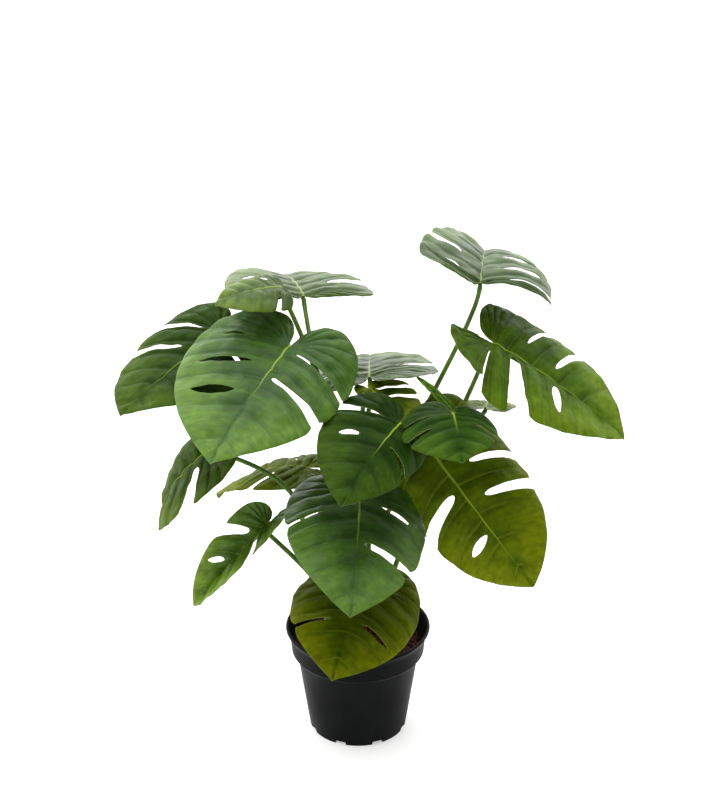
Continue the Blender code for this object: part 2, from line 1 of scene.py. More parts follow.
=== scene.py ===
"""Potted monstera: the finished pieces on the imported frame, materials and stage.

Lengths in the helpers are millimetres; a mesh is made in metres with Z up, the front of
the plant faces -Y and the pot stands on z = 0. The whole file is laid out as an add-on,
with one operator for each group of like pieces.
"""

import math
from collections import Counter
from functools import partial

import bmesh
import bpy
import numpy as np
from bpy.props import (
    BoolProperty,
    FloatProperty,
    FloatVectorProperty,
    IntProperty,
    PointerProperty,
)
from mathutils import Matrix, Vector, noise
from mathutils.geometry import delaunay_2d_cdt


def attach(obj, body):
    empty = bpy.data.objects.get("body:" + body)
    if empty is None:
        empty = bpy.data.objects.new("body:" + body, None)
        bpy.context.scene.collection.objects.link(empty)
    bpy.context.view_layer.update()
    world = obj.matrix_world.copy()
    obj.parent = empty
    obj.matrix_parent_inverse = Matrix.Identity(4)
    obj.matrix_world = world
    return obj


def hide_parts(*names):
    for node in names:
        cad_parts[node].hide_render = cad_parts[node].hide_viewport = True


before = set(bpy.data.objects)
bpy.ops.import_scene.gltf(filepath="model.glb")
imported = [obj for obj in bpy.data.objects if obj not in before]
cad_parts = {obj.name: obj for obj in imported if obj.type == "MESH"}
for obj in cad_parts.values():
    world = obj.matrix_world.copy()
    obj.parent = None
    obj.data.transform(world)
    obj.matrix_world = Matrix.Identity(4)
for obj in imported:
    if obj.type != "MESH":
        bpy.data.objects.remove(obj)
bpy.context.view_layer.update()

bl_info = {
    "name": "Potted Monstera",
    "version": (1, 0, 0),
    "blender": (4, 5, 0),
    "location": "3D View > Sidebar > Monstera",
    "description": "A monstera in its nursery pot, with soil, stems and cut leaves",
    "category": "Object",
}

MM = 0.001
ROOT = "root"

# Margin of one half blade as (vein number, forward, sideways), in blade lengths.
# It runs from the notch at the stem, round the basal lobe, to the tip.
MARGIN = (
    (-1.00, -0.015, 0.006),
    (-0.86, -0.140, 0.035),
    (-0.70, -0.235, 0.115),
    (-0.52, -0.268, 0.245),
    (-0.35, -0.222, 0.378),
    (-0.18, -0.115, 0.478),
    (0.00, 0.025, 0.535),
    (0.15, 0.165, 0.555),
    (0.30, 0.310, 0.538),
    (0.45, 0.455, 0.500),
    (0.60, 0.600, 0.430),
    (0.74, 0.738, 0.330),
    (0.86, 0.855, 0.210),
    (0.94, 0.936, 0.102),
    (1.00, 1.000, 0.000),
)

# One row a leaf. base and tip are points in mm, and the other shape values are degrees:
# roll turns the blade about its chord, bend arches the midrib, fold lifts the left and
# right half from the midrib, arch lets them fall again, twist winds the blade. wide
# scales the width of the left and right half, heel the reach of their lobes behind the
# stem. A cut of the left or right half is (vein number, inner end, outer end, half
# width); an outer end of 1 is open. lift raises (+) or drops (-) each lobe between open
# cuts, in blade lengths. foot is where the stem stands in the soil. sway is how far the
# stem bows out in x and y, the share of its length at which it is farthest out, and how
# hard it turns up at its top. tone goes from 0, an older blue-green blade, to 1, a
# young yellow-olive one. pale scales how light its colour is: painted light and shade,
# darker for a leaf in the shade of others and lighter for one in more light or sheen.
# skin names how glossy it is, and rib scales the width and the reach of the yellow
# midrib.
LEAVES = (
    dict(
        name="01", base=(112, 30, 453), tip=(125, 172, 428), roll=-1, bend=37,
        fold=(35, 24), arch=(46, 80), twist=10, wide=(0.76, 0.96), heel=(0.35, 0.2),
        left=((0.15, 0.35, 1, 0.045), (0.4, 0.4, 1, 0.045)),
        right=((0.08, 0.35, 1, 0.03), (0.3, 0.25, 0.85, 0.03), (0.52, 0.25, 0.8, 0.03)),
        lift=((0.09, 0.03, 0.02), (0.0, 0.0)), foot=(-16, 29), sway=(3, 36, 0.35, 0.3),
        tone=0.1, pale=0.8, skin="waxy", rib=(1.1, 1.5),
    ),
    dict(
        name="02", base=(125, 7, 402), tip=(246, -15, 316), roll=-8, bend=14,
        fold=(17, 18), arch=(42, 40), twist=3, wide=(1.04, 0.92), heel=(0.6, 1.1),
        left=((0.32, 0.3, 1, 0.025), (0.55, 0.22, 1, 0.03)),
        right=((0.0, 0.12, 1, 0.03), (0.3, 0.07, 1, 0.07), (0.58, 0.2, 0.72, 0.03)),
        lift=((0.0, 0.0, 0.0), (0.07, -0.04, 0.0)), foot=(17, 4),
        sway=(20, 50, 0.65, 0.3),
        tone=0.3, pale=1.08, skin="matt", rib=(0.75, 1.5),
    ),
    dict(
        name="03", base=(67, -8, 303), tip=(164, -60, 186), roll=-55, bend=26,
        fold=(10, 8), arch=(95, 85), twist=6, wide=(0.95, 0.84), heel=(1.0, 1.0),
        left=((0.33, 0.28, 1, 0.035), (0.54, 0.22, 1, 0.035)),
        right=(
            (0.04, 0.15, 0.5, 0.03), (0.46, 0.12, 1, 0.05), (0.72, 0.12, 0.62, 0.022),
        ),
        lift=((-0.05, -0.05, 0.0), (-0.1, 0.0)), foot=(-38, -10),
        sway=(-2, 6, 0.5, 0.8),
        tone=0.75, pale=1.12, skin="matt", rib=(1.35, 1.5),
    ),
    dict(
        name="04", base=(85, -68, 367), tip=(91, -125, 347), roll=0, bend=29,
        fold=(9, 4), arch=(45, 25), twist=8, wide=(1.25, 1.5), heel=(1.0, 1.8),
        left=((0.45, 0.45, 1, 0.06),),
        right=((0.02, 0.3, 1, 0.05), (0.42, 0.45, 1, 0.05)),
        lift=((0.0, 0.0), (0.0, 0.0, 0.0)), foot=(-3, 28), sway=(-27, 8, 0.5, 0.8),
        tone=0.0, pale=0.6, skin="matt", rib=(0.6, 0.9),
    ),
    dict(
        name="05", base=(38, -62, 354), tip=(-14, -166, 326), roll=4, bend=20,
        fold=(-14, 18), arch=(85, 18), twist=6, wide=(0.6, 0.9), heel=(1.0, 1.0),
        left=((0.45, 0.18, 1, 0.03),),
        right=((0.08, 0.2, 1, 0.055), (0.43, 0.4, 0.72, 0.03)),
        lift=((0.0, 0.0), (0.0, 0.0)), foot=(-3, 5), sway=(-16, 14, 0.65, 0.5),
        tone=0.0, pale=0.45, skin="matt", rib=(1.0, 0.85),
    ),
    dict(
        name="06", base=(2, -60, 281), tip=(-6, -193, 233), roll=10, bend=31,
        fold=(6, 6), arch=(48, 39), twist=-3, wide=(0.86, 0.86), heel=(1.0, 1.0),
        left=((0.22, 0.3, 0.74, 0.022), (0.61, 0.12, 1, 0.035)),
        right=((0.33, 0.5, 1, 0.012),),
        lift=((0.0, 0.0), (0.0, 0.0)), foot=(5, -8), sway=(8, 6, 0.35, 0.8),
        tone=0.0, pale=0.95, skin="satin", rib=(1.1, 0.95),
    ),
    dict(
        name="07", base=(6, -33, 175), tip=(-23, -146, 139), roll=4, bend=22,
        fold=(6, 6), arch=(50, 36), twist=-14, wide=(0.93, 0.95), heel=(1.0, 1.0),
        left=((0.1, 0.4, 0.7, 0.015), (0.6, 0.2, 0.85, 0.02)),
        right=((0.6, 0.35, 1, 0.02),),
        lift=((), (0.0, 0.0)), foot=(-12, -6), sway=(0, 0, 0.65, 0.3),
        tone=0.9, pale=1.0, skin="matt", rib=(0.6, 0.7),
    ),
    dict(
        name="08", base=(-62, -9, 406), tip=(-127, -127, 347), roll=2, bend=12,
        fold=(8, 14), arch=(58, 24), twist=0, wide=(0.92, 1.1), heel=(1.0, 1.0),
        left=((0.19, 0.14, 1, 0.018), (0.46, 0.1, 1, 0.035)),
        right=(
            (0.06, 0.5, 0.74, 0.025), (0.36, 0.24, 0.8, 0.022), (0.6, 0.26, 0.8, 0.03),
        ),
        lift=((0.0, 0.0, 0.0), ()), foot=(13, 33), sway=(11, -9, 0.65, 0.15),
        tone=0.0, pale=1.15, skin="satin", rib=(1.05, 0.9),
    ),
    dict(
        name="09", base=(-129, 51, 395), tip=(-212, -57, 360), roll=5, bend=6,
        fold=(6, 6), arch=(40, 30), twist=14, wide=(0.9, 0.9), heel=(1.0, 1.0),
        left=((0.25, 0.3, 0.8, 0.02),),
        right=((0.1, 0.22, 1, 0.05), (0.4, 0.25, 1, 0.04)),
        lift=((), (0.0, 0.0, 0.0)), foot=(22, 13), sway=(43, 20, 0.5, 0.8),
        tone=0.1, pale=0.55, skin="matt", rib=(0.8, 1.4),
    ),
    dict(
        name="10", base=(-50, 48, 433), tip=(-79, 175, 403), roll=0, bend=24,
        fold=(17, 16), arch=(36, 33), twist=8, wide=(0.95, 0.95), heel=(0.3, 0.3),
        left=((0.15, 0.35, 1, 0.03), (0.45, 0.3, 0.8, 0.03)),
        right=((0.3, 0.4, 1, 0.03),),
        lift=((0.0, 0.02), (-0.03, 0.0)), foot=(30, -11), sway=(2, -52, 0.65, 0.3),
        tone=0.2, pale=0.95, skin="waxy", rib=(1.0, 1.5),
    ),
    dict(
        name="11", base=(-70, 28, 450), tip=(-129, 5, 441), roll=12, bend=30,
        fold=(10, 10), arch=(40, 40), twist=0, wide=(0.9, 0.8), heel=(0.3, 0.3),
        left=((0.2, 0.3, 1, 0.04),),
        right=((0.25, 0.3, 0.8, 0.03),),
        lift=((0.0, 0.0), ()), foot=(-5, 19), sway=(15, -56, 0.65, 0.8),
        tone=0.25, pale=1.0, skin="satin", rib=(0.8, 1.5),
    ),
    dict(
        name="12", base=(-136, -17, 305), tip=(-186, 15, 212), roll=48, bend=50,
        fold=(20, 10), arch=(20, 50), twist=4, wide=(0.9, 0.6), heel=(1.0, 1.0),
        left=((0.26, 0.25, 1, 0.09),),
        right=((0.15, 0.3, 0.8, 0.02),),
        lift=((0.0, 0.0), ()), foot=(-25, 8), sway=(24, -10, 0.65, 0.8),
        tone=0.3, pale=0.8, skin="matt", rib=(1.0, 1.5),
    ),
    dict(
        name="13", base=(-49, 33, 263), tip=(-138, 76, 208), roll=0, bend=42,
        fold=(10, 10), arch=(32, 45), twist=6, wide=(0.75, 0.75), heel=(1.0, 1.0),
        left=((0.35, 0.35, 1, 0.03),),
        right=((0.3, 0.35, 0.8, 0.02),),
        lift=((0.0, 0.0), ()), foot=(-23, -1), sway=(0, 0, 0.5, 0.5),
        tone=0.9, pale=1.3, skin="matt", rib=(1.1, 1.5),
    ),
    dict(
        name="14", base=(-84, -35, 238), tip=(-156, -32, 148), roll=45, bend=10,
        fold=(48, 48), arch=(16, 10), twist=-4, wide=(0.5, 0.48), heel=(1.0, 0.5),
        left=((0.24, 0.25, 1, 0.07),),
        right=((0.28, 0.28, 1, 0.08), (0.6, 0.3, 0.8, 0.03)),
        lift=((0.0, 0.0), (0.0, 0.0)), foot=(-21, 34), sway=(-27, 23, 0.65, 0.3),
        tone=0.25, pale=1.5, skin="satin", rib=(0.8, 1.4),
    ),
    dict(
        name="15", base=(11, 24, 362), tip=(12, 140, 334), roll=10, bend=8,
        fold=(12, 12), arch=(34, 35), twist=6, wide=(1.0, 1.0), heel=(1.0, 1.0),
        left=((0.25, 0.3, 1, 0.03),),
        right=((0.3, 0.3, 1, 0.03),),
        lift=((0.0, 0.0), (0.0, 0.02)), foot=(-18, 12), sway=(0, 1, 0.65, 0.3),
        tone=0.2, pale=0.85, skin="waxy", rib=(1.0, 1.4),
    ),
    dict(
        name="16", base=(10.6, 2, 359.5), tip=(46, -32, 330), roll=0, bend=30,
        fold=(-6, 10), arch=(6, 40), twist=0, wide=(1.7, 0.5), heel=(0.7, 0.7),
        left=((0.16, 0.12, 1, 0.05), (0.42, 0.12, 1, 0.055)),
        right=(),
        lift=((0.0, 0.0, 0.0), ()), foot=(10, -1), sway=(-1, -1, 0.5, 0.3),
        tone=0.8, pale=1.6, skin="matt", rib=(0.9, 1.4),
    ),
    dict(
        name="17", base=(86, -28, 352), tip=(53, 8, 371), roll=0, bend=14, fold=(5, 5),
        arch=(10, 10), twist=0, wide=(0.18, 0.2), heel=(1.0, 1.0),
        left=(),
        right=(),
        lift=((), ()), foot=(29, 18), sway=(-67, 34, 0.5, 0.3),
        tone=0.15, pale=1.2, skin="matt", rib=(0.8, 1.3),
    ),
    dict(
        name="18", base=(124, 80, 305.5), tip=(134, 146, 275.5), roll=0, bend=20,
        fold=(6, 6), arch=(14, 14), twist=0, wide=(0.7, 0.7), heel=(1.0, 1.0),
        left=((0.25, 0.3, 1, 0.03),),
        right=((0.3, 0.35, 0.8, 0.03),),
        lift=((0.0, 0.0), ()), foot=(-28, 21), sway=(-15, 9, 0.5, 0.15),
        tone=0.6, pale=1.2, skin="satin", rib=(0.9, 1.4),
    ),
)


def linear(code):
    """An sRGB hex colour as linear red, green and blue, with a full alpha."""
    parts = [int(code[i : i + 2], 16) / 255 for i in (1, 3, 5)]
    light = [c / 12.92 if c <= 0.04045 else ((c + 0.055) / 1.055) ** 2.4 for c in parts]
    return (*light, 1.0)


def add_node(tree, kind, inputs=(), output=0, **settings):
    """Adds a node and gives one of its output sockets.

    inputs holds values and sockets to link, in the node's own order or by name. A Map
    Range has the order value, from low, from high, to low, to high.
    """
    made = tree.nodes.new("ShaderNode" + kind)
    for name, value in settings.items():
        setattr(made, name, value)
    for key, value in inputs.items() if isinstance(inputs, dict) else enumerate(inputs):
        if isinstance(value, bpy.types.NodeSocket):
            tree.links.new(value, made.inputs[key])
        else:
            made.inputs[key].default_value = value
    return made.outputs[output] if made.outputs else None


def new_tree(kind, name):
    """An empty material or world, and add_node for its node tree."""
    made = kind.new(name)
    made.use_nodes = True
    made.node_tree.nodes.clear()
    return made, partial(add_node, made.node_tree)


# Flat leaf: where each place of a blade lies before the blade is bent

FIRST_VEIN = 0.11  # vein number of the side vein that leaves the midrib at the stem
VEINS_END = 0.93  # where on the midrib the last side vein leaves it
VEIN_PITCH = 0.17  # wished distance of two side veins, in vein numbers
LOBE_CORNER = 0.955  # share at which a lobe's corner lies beside an open cut
CORNER_DROP = 0.045  # how far the corner is rounded back


def margin_point(vein):
    """The point of the margin at a vein number, by a smooth curve through MARGIN."""
    vein = min(max(vein, -1.0), 1.0)
    i = 0
    while i < len(MARGIN) - 2 and MARGIN[i + 1][0] < vein:
        i += 1
    first, second = MARGIN[i], MARGIN[i + 1]
    if i > 0:
        before = MARGIN[i - 1]
    else:
        before = [2 * a - b for a, b in zip(first, second)]
    if i + 2 < len(MARGIN):
        after = MARGIN[i + 2]
    else:
        after = [2 * b - a for a, b in zip(first, second)]
    span = second[0] - first[0]
    u = (vein - first[0]) / span
    found = []
    for k in (1, 2):
        slope_in = (second[k] - before[k]) / (second[0] - before[0]) * span
        slope_out = (after[k] - first[k]) / (after[0] - first[0]) * span
        value = (2 * u**3 - 3 * u**2 + 1) * first[k]
        value += (u**3 - 2 * u**2 + u) * slope_in
        value += (3 * u**2 - 2 * u**3) * second[k]
        found.append(value + (u**3 - u**2) * slope_out)
    return found


VEIN_STEPS = np.linspace(-1.0, 1.0, 1601)
MARGIN_STEPS = np.array([margin_point(v) for v in VEIN_STEPS])


def vein_place(vein, share):
    """Flat places on a half blade, each a share of the way from midrib to margin."""
    vein = np.asarray(vein, float)
    ahead = np.interp(vein, VEIN_STEPS, MARGIN_STEPS[:, 0])
    aside = np.interp(vein, VEIN_STEPS, MARGIN_STEPS[:, 1])
    start = np.clip(vein - FIRST_VEIN, 0, None) / (1 - FIRST_VEIN)
    start = VEINS_END * start**1.25
    bow = 0.20 * aside * share * (1 - share)
    return start + (ahead - start) * share - bow, aside * share


def cut_spread(cut, share):
    """Half width of a cut at a share, in vein numbers, or 0 where it doesn't reach."""
    _, inner, outer, width = cut
    if share <= inner or share >= outer and outer < 1:
        return 0.0
    if outer < 1:
        s = (share - inner) / (outer - inner)
        return width * max(math.sin(math.pi * s), 0.0) ** 0.6
    s = (share - inner) / (1 - inner)
    round_end = math.sqrt(1 - (1 - min(1.0, s / 0.16)) ** 2)
    return width * (0.45 + 0.55 * s) * round_end


def lobe_share(vein, low, high):
    """How far out a lobe's margin lies: its corners beside a cut are rounded off."""
    share = 1.0
    for edge, real in ((low, low > -1.0), (high, high < 1.0)):
        near = abs(vein - edge) / min(0.07, (high - low) / 2)
        if real and near < 1:
            share -= CORNER_DROP * (1 - near) ** 2
    return share


def half_outline(cuts, side, step):
    """Outline of one half from notch to tip as rows of (vein, share, side)."""
    opened = sorted(cut for cut in cuts if cut[2] >= 1)
    edges = [-1.0]
    for cut in opened:
        half = cut_spread(cut, LOBE_CORNER)
        edges += [cut[0] - half, cut[0] + half]
    edges.append(1.0)
    spots = []
    for i, (low, high) in enumerate(zip(edges[::2], edges[1::2])):
        count = max(3, math.ceil((high - low) * 0.72 / step))
        for k in range(count + 1):
            vein = low + (high - low) * k / count
            spots.append((vein, lobe_share(vein, low, high), side))
        if i == len(opened):
            continue
        cut = opened[i]
        reach = LOBE_CORNER - cut[1]
        count = max(4, math.ceil(reach * 0.5 / step))
        way = [cut[1] + reach * (k / count) ** 1.7 for k in range(count)]
        for share in way[:0:-1]:
            spots.append((cut[0] - cut_spread(cut, share), share, side))
        for share in way:
            spots.append((cut[0] + cut_spread(cut, share), share, side))
    return spots


def hole_outline(cut, side, step):
    """A closed cut as a loop that lies along its vein."""
    vein, inner, outer, _ = cut
    count = max(5, math.ceil((outer - inner) * 0.5 / step))
    spots = []
    for k in range(2 * count):
        turn = math.pi * k / count
        share = inner + (outer - inner) * (1 - math.cos(turn)) / 2
        spread = math.copysign(cut_spread(cut, share), math.sin(turn))
        spots.append((vein - spread, share, side))
    return spots


def lobe_bands(cuts):
    """Vein intervals between cuts, each with the number of side veins in it."""
    edges = [-1.0] + sorted(cut[0] for cut in cuts) + [1.0]
    return [
        (low, high, max(1, round((high - low) / VEIN_PITCH)))
        for low, high in zip(edges, edges[1:])
        if high - low > 0.01
    ]


def vein_phase(vein, cuts):
    """Whole numbers on the side veins, halves midway, and the band's vein spacing."""
    phase = np.zeros(len(vein))
    spacing = np.zeros(len(vein))
    for low, high, count in lobe_bands(cuts):
        here = (vein >= low) & (vein <= high)
        phase[here] = (vein[here] - low) / (high - low) * count - 0.5
        spacing[here] = (high - low) / count
    return phase, spacing


def near_cut(vein, share, cuts, room):
    """True where a place lies in a cut or within room of it, in blade lengths."""
    beside = room / max(0.25, share) / 0.7
    return any(
        cut[1] - room < share < cut[2] + room
        and abs(vein - cut[0]) < cut_spread(cut, share) + beside
        for cut in cuts
    )


class Spots:
    """Flat places, found again by a grid of cells as wide as the mesh step."""

    def __init__(self, step):
        self.step = step
        self.cells = {}
        self.rows = []

    def cell(self, x, y):
        return math.floor(x / self.step), math.floor(y / self.step)

    def clear_of(self, x, y, room):
        """Whether no place lies within room of this one."""
        i, j = self.cell(x, y)
        return not any(
            (u - x) ** 2 + (v - y) ** 2 < room * room
            for a in (i - 1, i, i + 1)
            for b in (j - 1, j, j + 1)
            for u, v in self.cells.get((a, b), ())
        )

    def add(self, x, y, vein, share, side):
        self.cells.setdefault(self.cell(x, y), []).append((x, y))
        self.rows.append((x, y, vein, share, side))


def in_loop(points, loop):
    """Which flat points lie inside a closed loop."""
    x, y = points[:, 0], points[:, 1]
    found = np.zeros(len(points), bool)
    for (ax, ay), (bx, by) in zip(loop, np.roll(loop, -1, axis=0)):
        crosses = (ay > y) != (by > y)
        if crosses.any():
            at = (bx - ax) * (y - ay) / ((by - ay) or 1e-12) + ax
            found ^= crosses & (x < at)
    return found


def fill_half(spots, cuts, side, step):
    """Adds places inside a half blade, in rows on the side veins and between them."""
    ranked = []
    for low, high, count in lobe_bands(cuts):
        width = (high - low) / count
        parts = max(2, math.ceil(width * 0.36 / step))
        for k in range(count):
            middle = low + width * (k + 0.5)
            for j in range(-parts, parts + 1):
                ranked.append((abs(j), middle + width * j / parts / 2))
    for _, vein in sorted(ranked):
        if not -0.97 < vein < 0.985:
            continue
        x0, y0 = vein_place(vein, 0.0)
        x1, y1 = vein_place(vein, 1.0)
        count = max(2, math.ceil(math.hypot(x1 - x0, y1 - y0) / step))
        for share in (np.arange(1, count) + 0.25) / count:
            if share > 1 - 0.4 / count or near_cut(vein, share, cuts, 0.3 * step):
                continue
            x, y = vein_place(vein, share)
            x, y = float(x), float(y) * side
            if spots.clear_of(x, y, 0.62 * step):
                spots.add(x, y, vein, share, side)


def flat_leaf(leaf, step):
    """Flat rows (x, y, vein, share, side) of a blade, its triangles and its edge rows.

    Rows of points follow the midrib and the side veins, so that the creases lie on mesh
    edges.
    """
    halves = ((1, leaf["left"]), (-1, leaf["right"]))
    left, right = (half_outline(cuts, side, step) for side, cuts in halves)
    loops = [left + right[1:-1][::-1]]
    for side, cuts in halves:
        loops += [hole_outline(cut, side, step) for cut in cuts if cut[2] < 1]
    spots = Spots(step)
    edges = []
    for loop in loops:
        first = len(spots.rows)
        vein, share, side = np.array(loop, float).T
        x, y = vein_place(vein, share)
        for row in zip(x, y * side, vein, share, side):
            spots.add(*row)
        count = len(loop)
        edges += [(first + k, first + (k + 1) % count) for k in range(count)]
    rim_count = len(spots.rows)
    steps = math.ceil(1 / step)
    for k in range(steps):
        x = k / steps
        vein = 1.0
        if x < VEINS_END:
            vein = FIRST_VEIN + (1 - FIRST_VEIN) * (x / VEINS_END) ** 0.8
        spots.add(x, 0.0, min(vein, 1.0), 0.0, 1)
    midrib = [*range(rim_count, rim_count + steps), len(left) - 1]
    edges += list(zip(midrib, midrib[1:]))
    for side, cuts in halves:
        fill_half(spots, cuts, side, step)
    rows = spots.rows
    flat = [Vector(row[:2]) for row in rows]
    places, _, faces, came_from, _, _ = delaunay_2d_cdt(flat, edges, [], 0, 1e-7, True)
    faces = np.array([face for face in faces if len(face) == 3])
    middles = np.array([tuple(p) for p in places])[faces].mean(axis=1)
    flat_rows = np.array([row[:2] for row in rows])
    first = len(loops[0])
    kept = in_loop(middles, flat_rows[:first])
    for loop in loops[1:]:
        kept &= ~in_loop(middles, flat_rows[first : first + len(loop)])
        first += len(loop)
    kept_rows = np.array([rows[ids[0]] for ids in came_from])
    rim = np.array([ids[0] < rim_count for ids in came_from])
    return kept_rows, faces[kept], rim


# Bent leaf: the same form as the solid, for many places at once

# relief of a blade in mm: rounded ridges and grooves by width and height, and the
# scales of the slow waves and of the dents, which are about 36, 17 and 8 mm across
CREASE_WIDTH = 1.5
SHORT_CREASE_WIDTH = 1.2
SHORT_CREASE_SHARE = 0.55
MARGIN_DROP = 0.55
MARGIN_REACH = 2.2
RIB_RISE = 0.55
TIP_CREASE = 0.5
NOISE_SCALES = (0.028, 0.06, 0.13)


class Blade:
    """Bends flat blade places into the leaf's form, in millimetres."""

    def __init__(self, leaf):
        self.leaf = leaf
        self.base = Vector(leaf["base"])
        chord = Vector(leaf["tip"]) - self.base
        self.ahead = chord.normalized()
        up = Vector((0, 0, 1)) - self.ahead * self.ahead.z
        up.normalize()
        roll = math.radians(leaf["roll"])
        self.normal = up * math.cos(roll) + up.cross(self.ahead) * math.sin(roll)
        self.aside = self.normal.cross(self.ahead)
        self.bend = math.radians(leaf["bend"])
        self.length = chord.length * self.bend / (2 * math.sin(self.bend / 2))

    def lobe_lift(self, rows):
        """How far each place rises with its lobe, in blade lengths."""
        _, y, vein, share, side = rows.T
        lift = np.zeros(len(rows))
        for sign, values, half in zip((1, -1), self.leaf["lift"], ("left", "right")):
            if not values:
                continue
            lobe = np.zeros(len(rows), int)
            for cut in self.leaf[half]:
                if cut[2] >= 1:
                    lobe += vein > cut[0]
            high = np.array(values)[np.minimum(lobe, len(values) - 1)]
            rise = np.clip((share - 0.12) / 0.88, 0, None) ** 1.6
            rise *= np.minimum(1.0, 4 * np.abs(y))
            lift += np.where(side * sign > 0, high * rise, 0.0)
        return lift

    def places(self, rows):
        """Points in mm for rows of (x, y, vein, share, side)."""
        x, y, _, _, side = rows.T
        left = side > 0
        x = np.where(x < 0, x * np.where(left, *self.leaf["heel"]), x)
        fold = np.radians(np.where(left, *self.leaf["fold"]))
        arch = np.radians(np.where(left, *(a or 0.01 for a in self.leaf["arch"])))
        slope = self.bend * (0.5 - x)
        along = (math.sin(self.bend / 2) - np.sin(slope)) / self.bend
        rise = (np.cos(slope) - math.cos(self.bend / 2)) / self.bend
        reach = 2 * np.abs(y) * np.where(left, *self.leaf["wide"])
        out = 0.5 * (np.sin(fold) - np.sin(fold - arch * reach)) / arch * side
        lift = 0.5 * (np.cos(fold - arch * reach) - np.cos(fold)) / arch
        lift += self.lobe_lift(rows)
        wind = math.radians(self.leaf["twist"]) * x
        # sideways and upward steps after the twist about the midrib
        over = out * np.sin(wind) + lift * np.cos(wind)
        over_side = out * np.cos(wind) - lift * np.sin(wind)
        spread = np.outer(along - over * np.sin(slope), self.ahead)
        spread += np.outer(over_side, self.aside)
        spread += np.outer(rise + over * np.cos(slope), self.normal)
        return np.array(self.base) + spread * self.length

    def frame(self, x):
        """Midrib place, direction and upward normal at x."""
        place = Vector(self.places(np.array([[x, 0.0, 0.0, 0.0, 1.0]]))[0])
        slope = self.bend * (0.5 - x)
        wind = math.radians(self.leaf["twist"]) * x
        along = self.ahead * math.cos(slope) + self.normal * math.sin(slope)
        upward = self.normal * math.cos(slope) - self.ahead * math.sin(slope)
        upward = upward * math.cos(wind) - self.aside * math.sin(wind)
        return place, along, upward


def corner_normals(points, faces):
    """Unit normals at the points of a triangle mesh, weighted by area."""
    a, b, c = (points[faces[:, k]] for k in range(3))
    across = np.cross(b - a, c - a)
    normals = np.zeros_like(points)
    for k in range(3):
        np.add.at(normals, faces[:, k], across)
    size = np.linalg.norm(normals, axis=1, keepdims=True)
    return normals / np.maximum(size, 1e-12)


def smooth_step(value, low, high):
    t = np.clip((value - low) / (high - low), 0, 1)
    return t * t * (3 - 2 * t)


def ridge(distance, width):
    """A rounded ridge over a line, 1 on the line and gone a few widths away."""
    return np.exp(-((distance / width) ** 2))


def edge_distance(rows, rim, length):
    """Distance in mm from each row to the nearest row of the outline."""
    edge = rows[rim][:, :2]
    found = np.empty(len(rows))
    for k in range(0, len(rows), 512):
        part = rows[k : k + 512, None, :2] - edge[None]
        found[k : k + 512] = np.sqrt((part**2).sum(axis=2).min(axis=1))
    return found * length


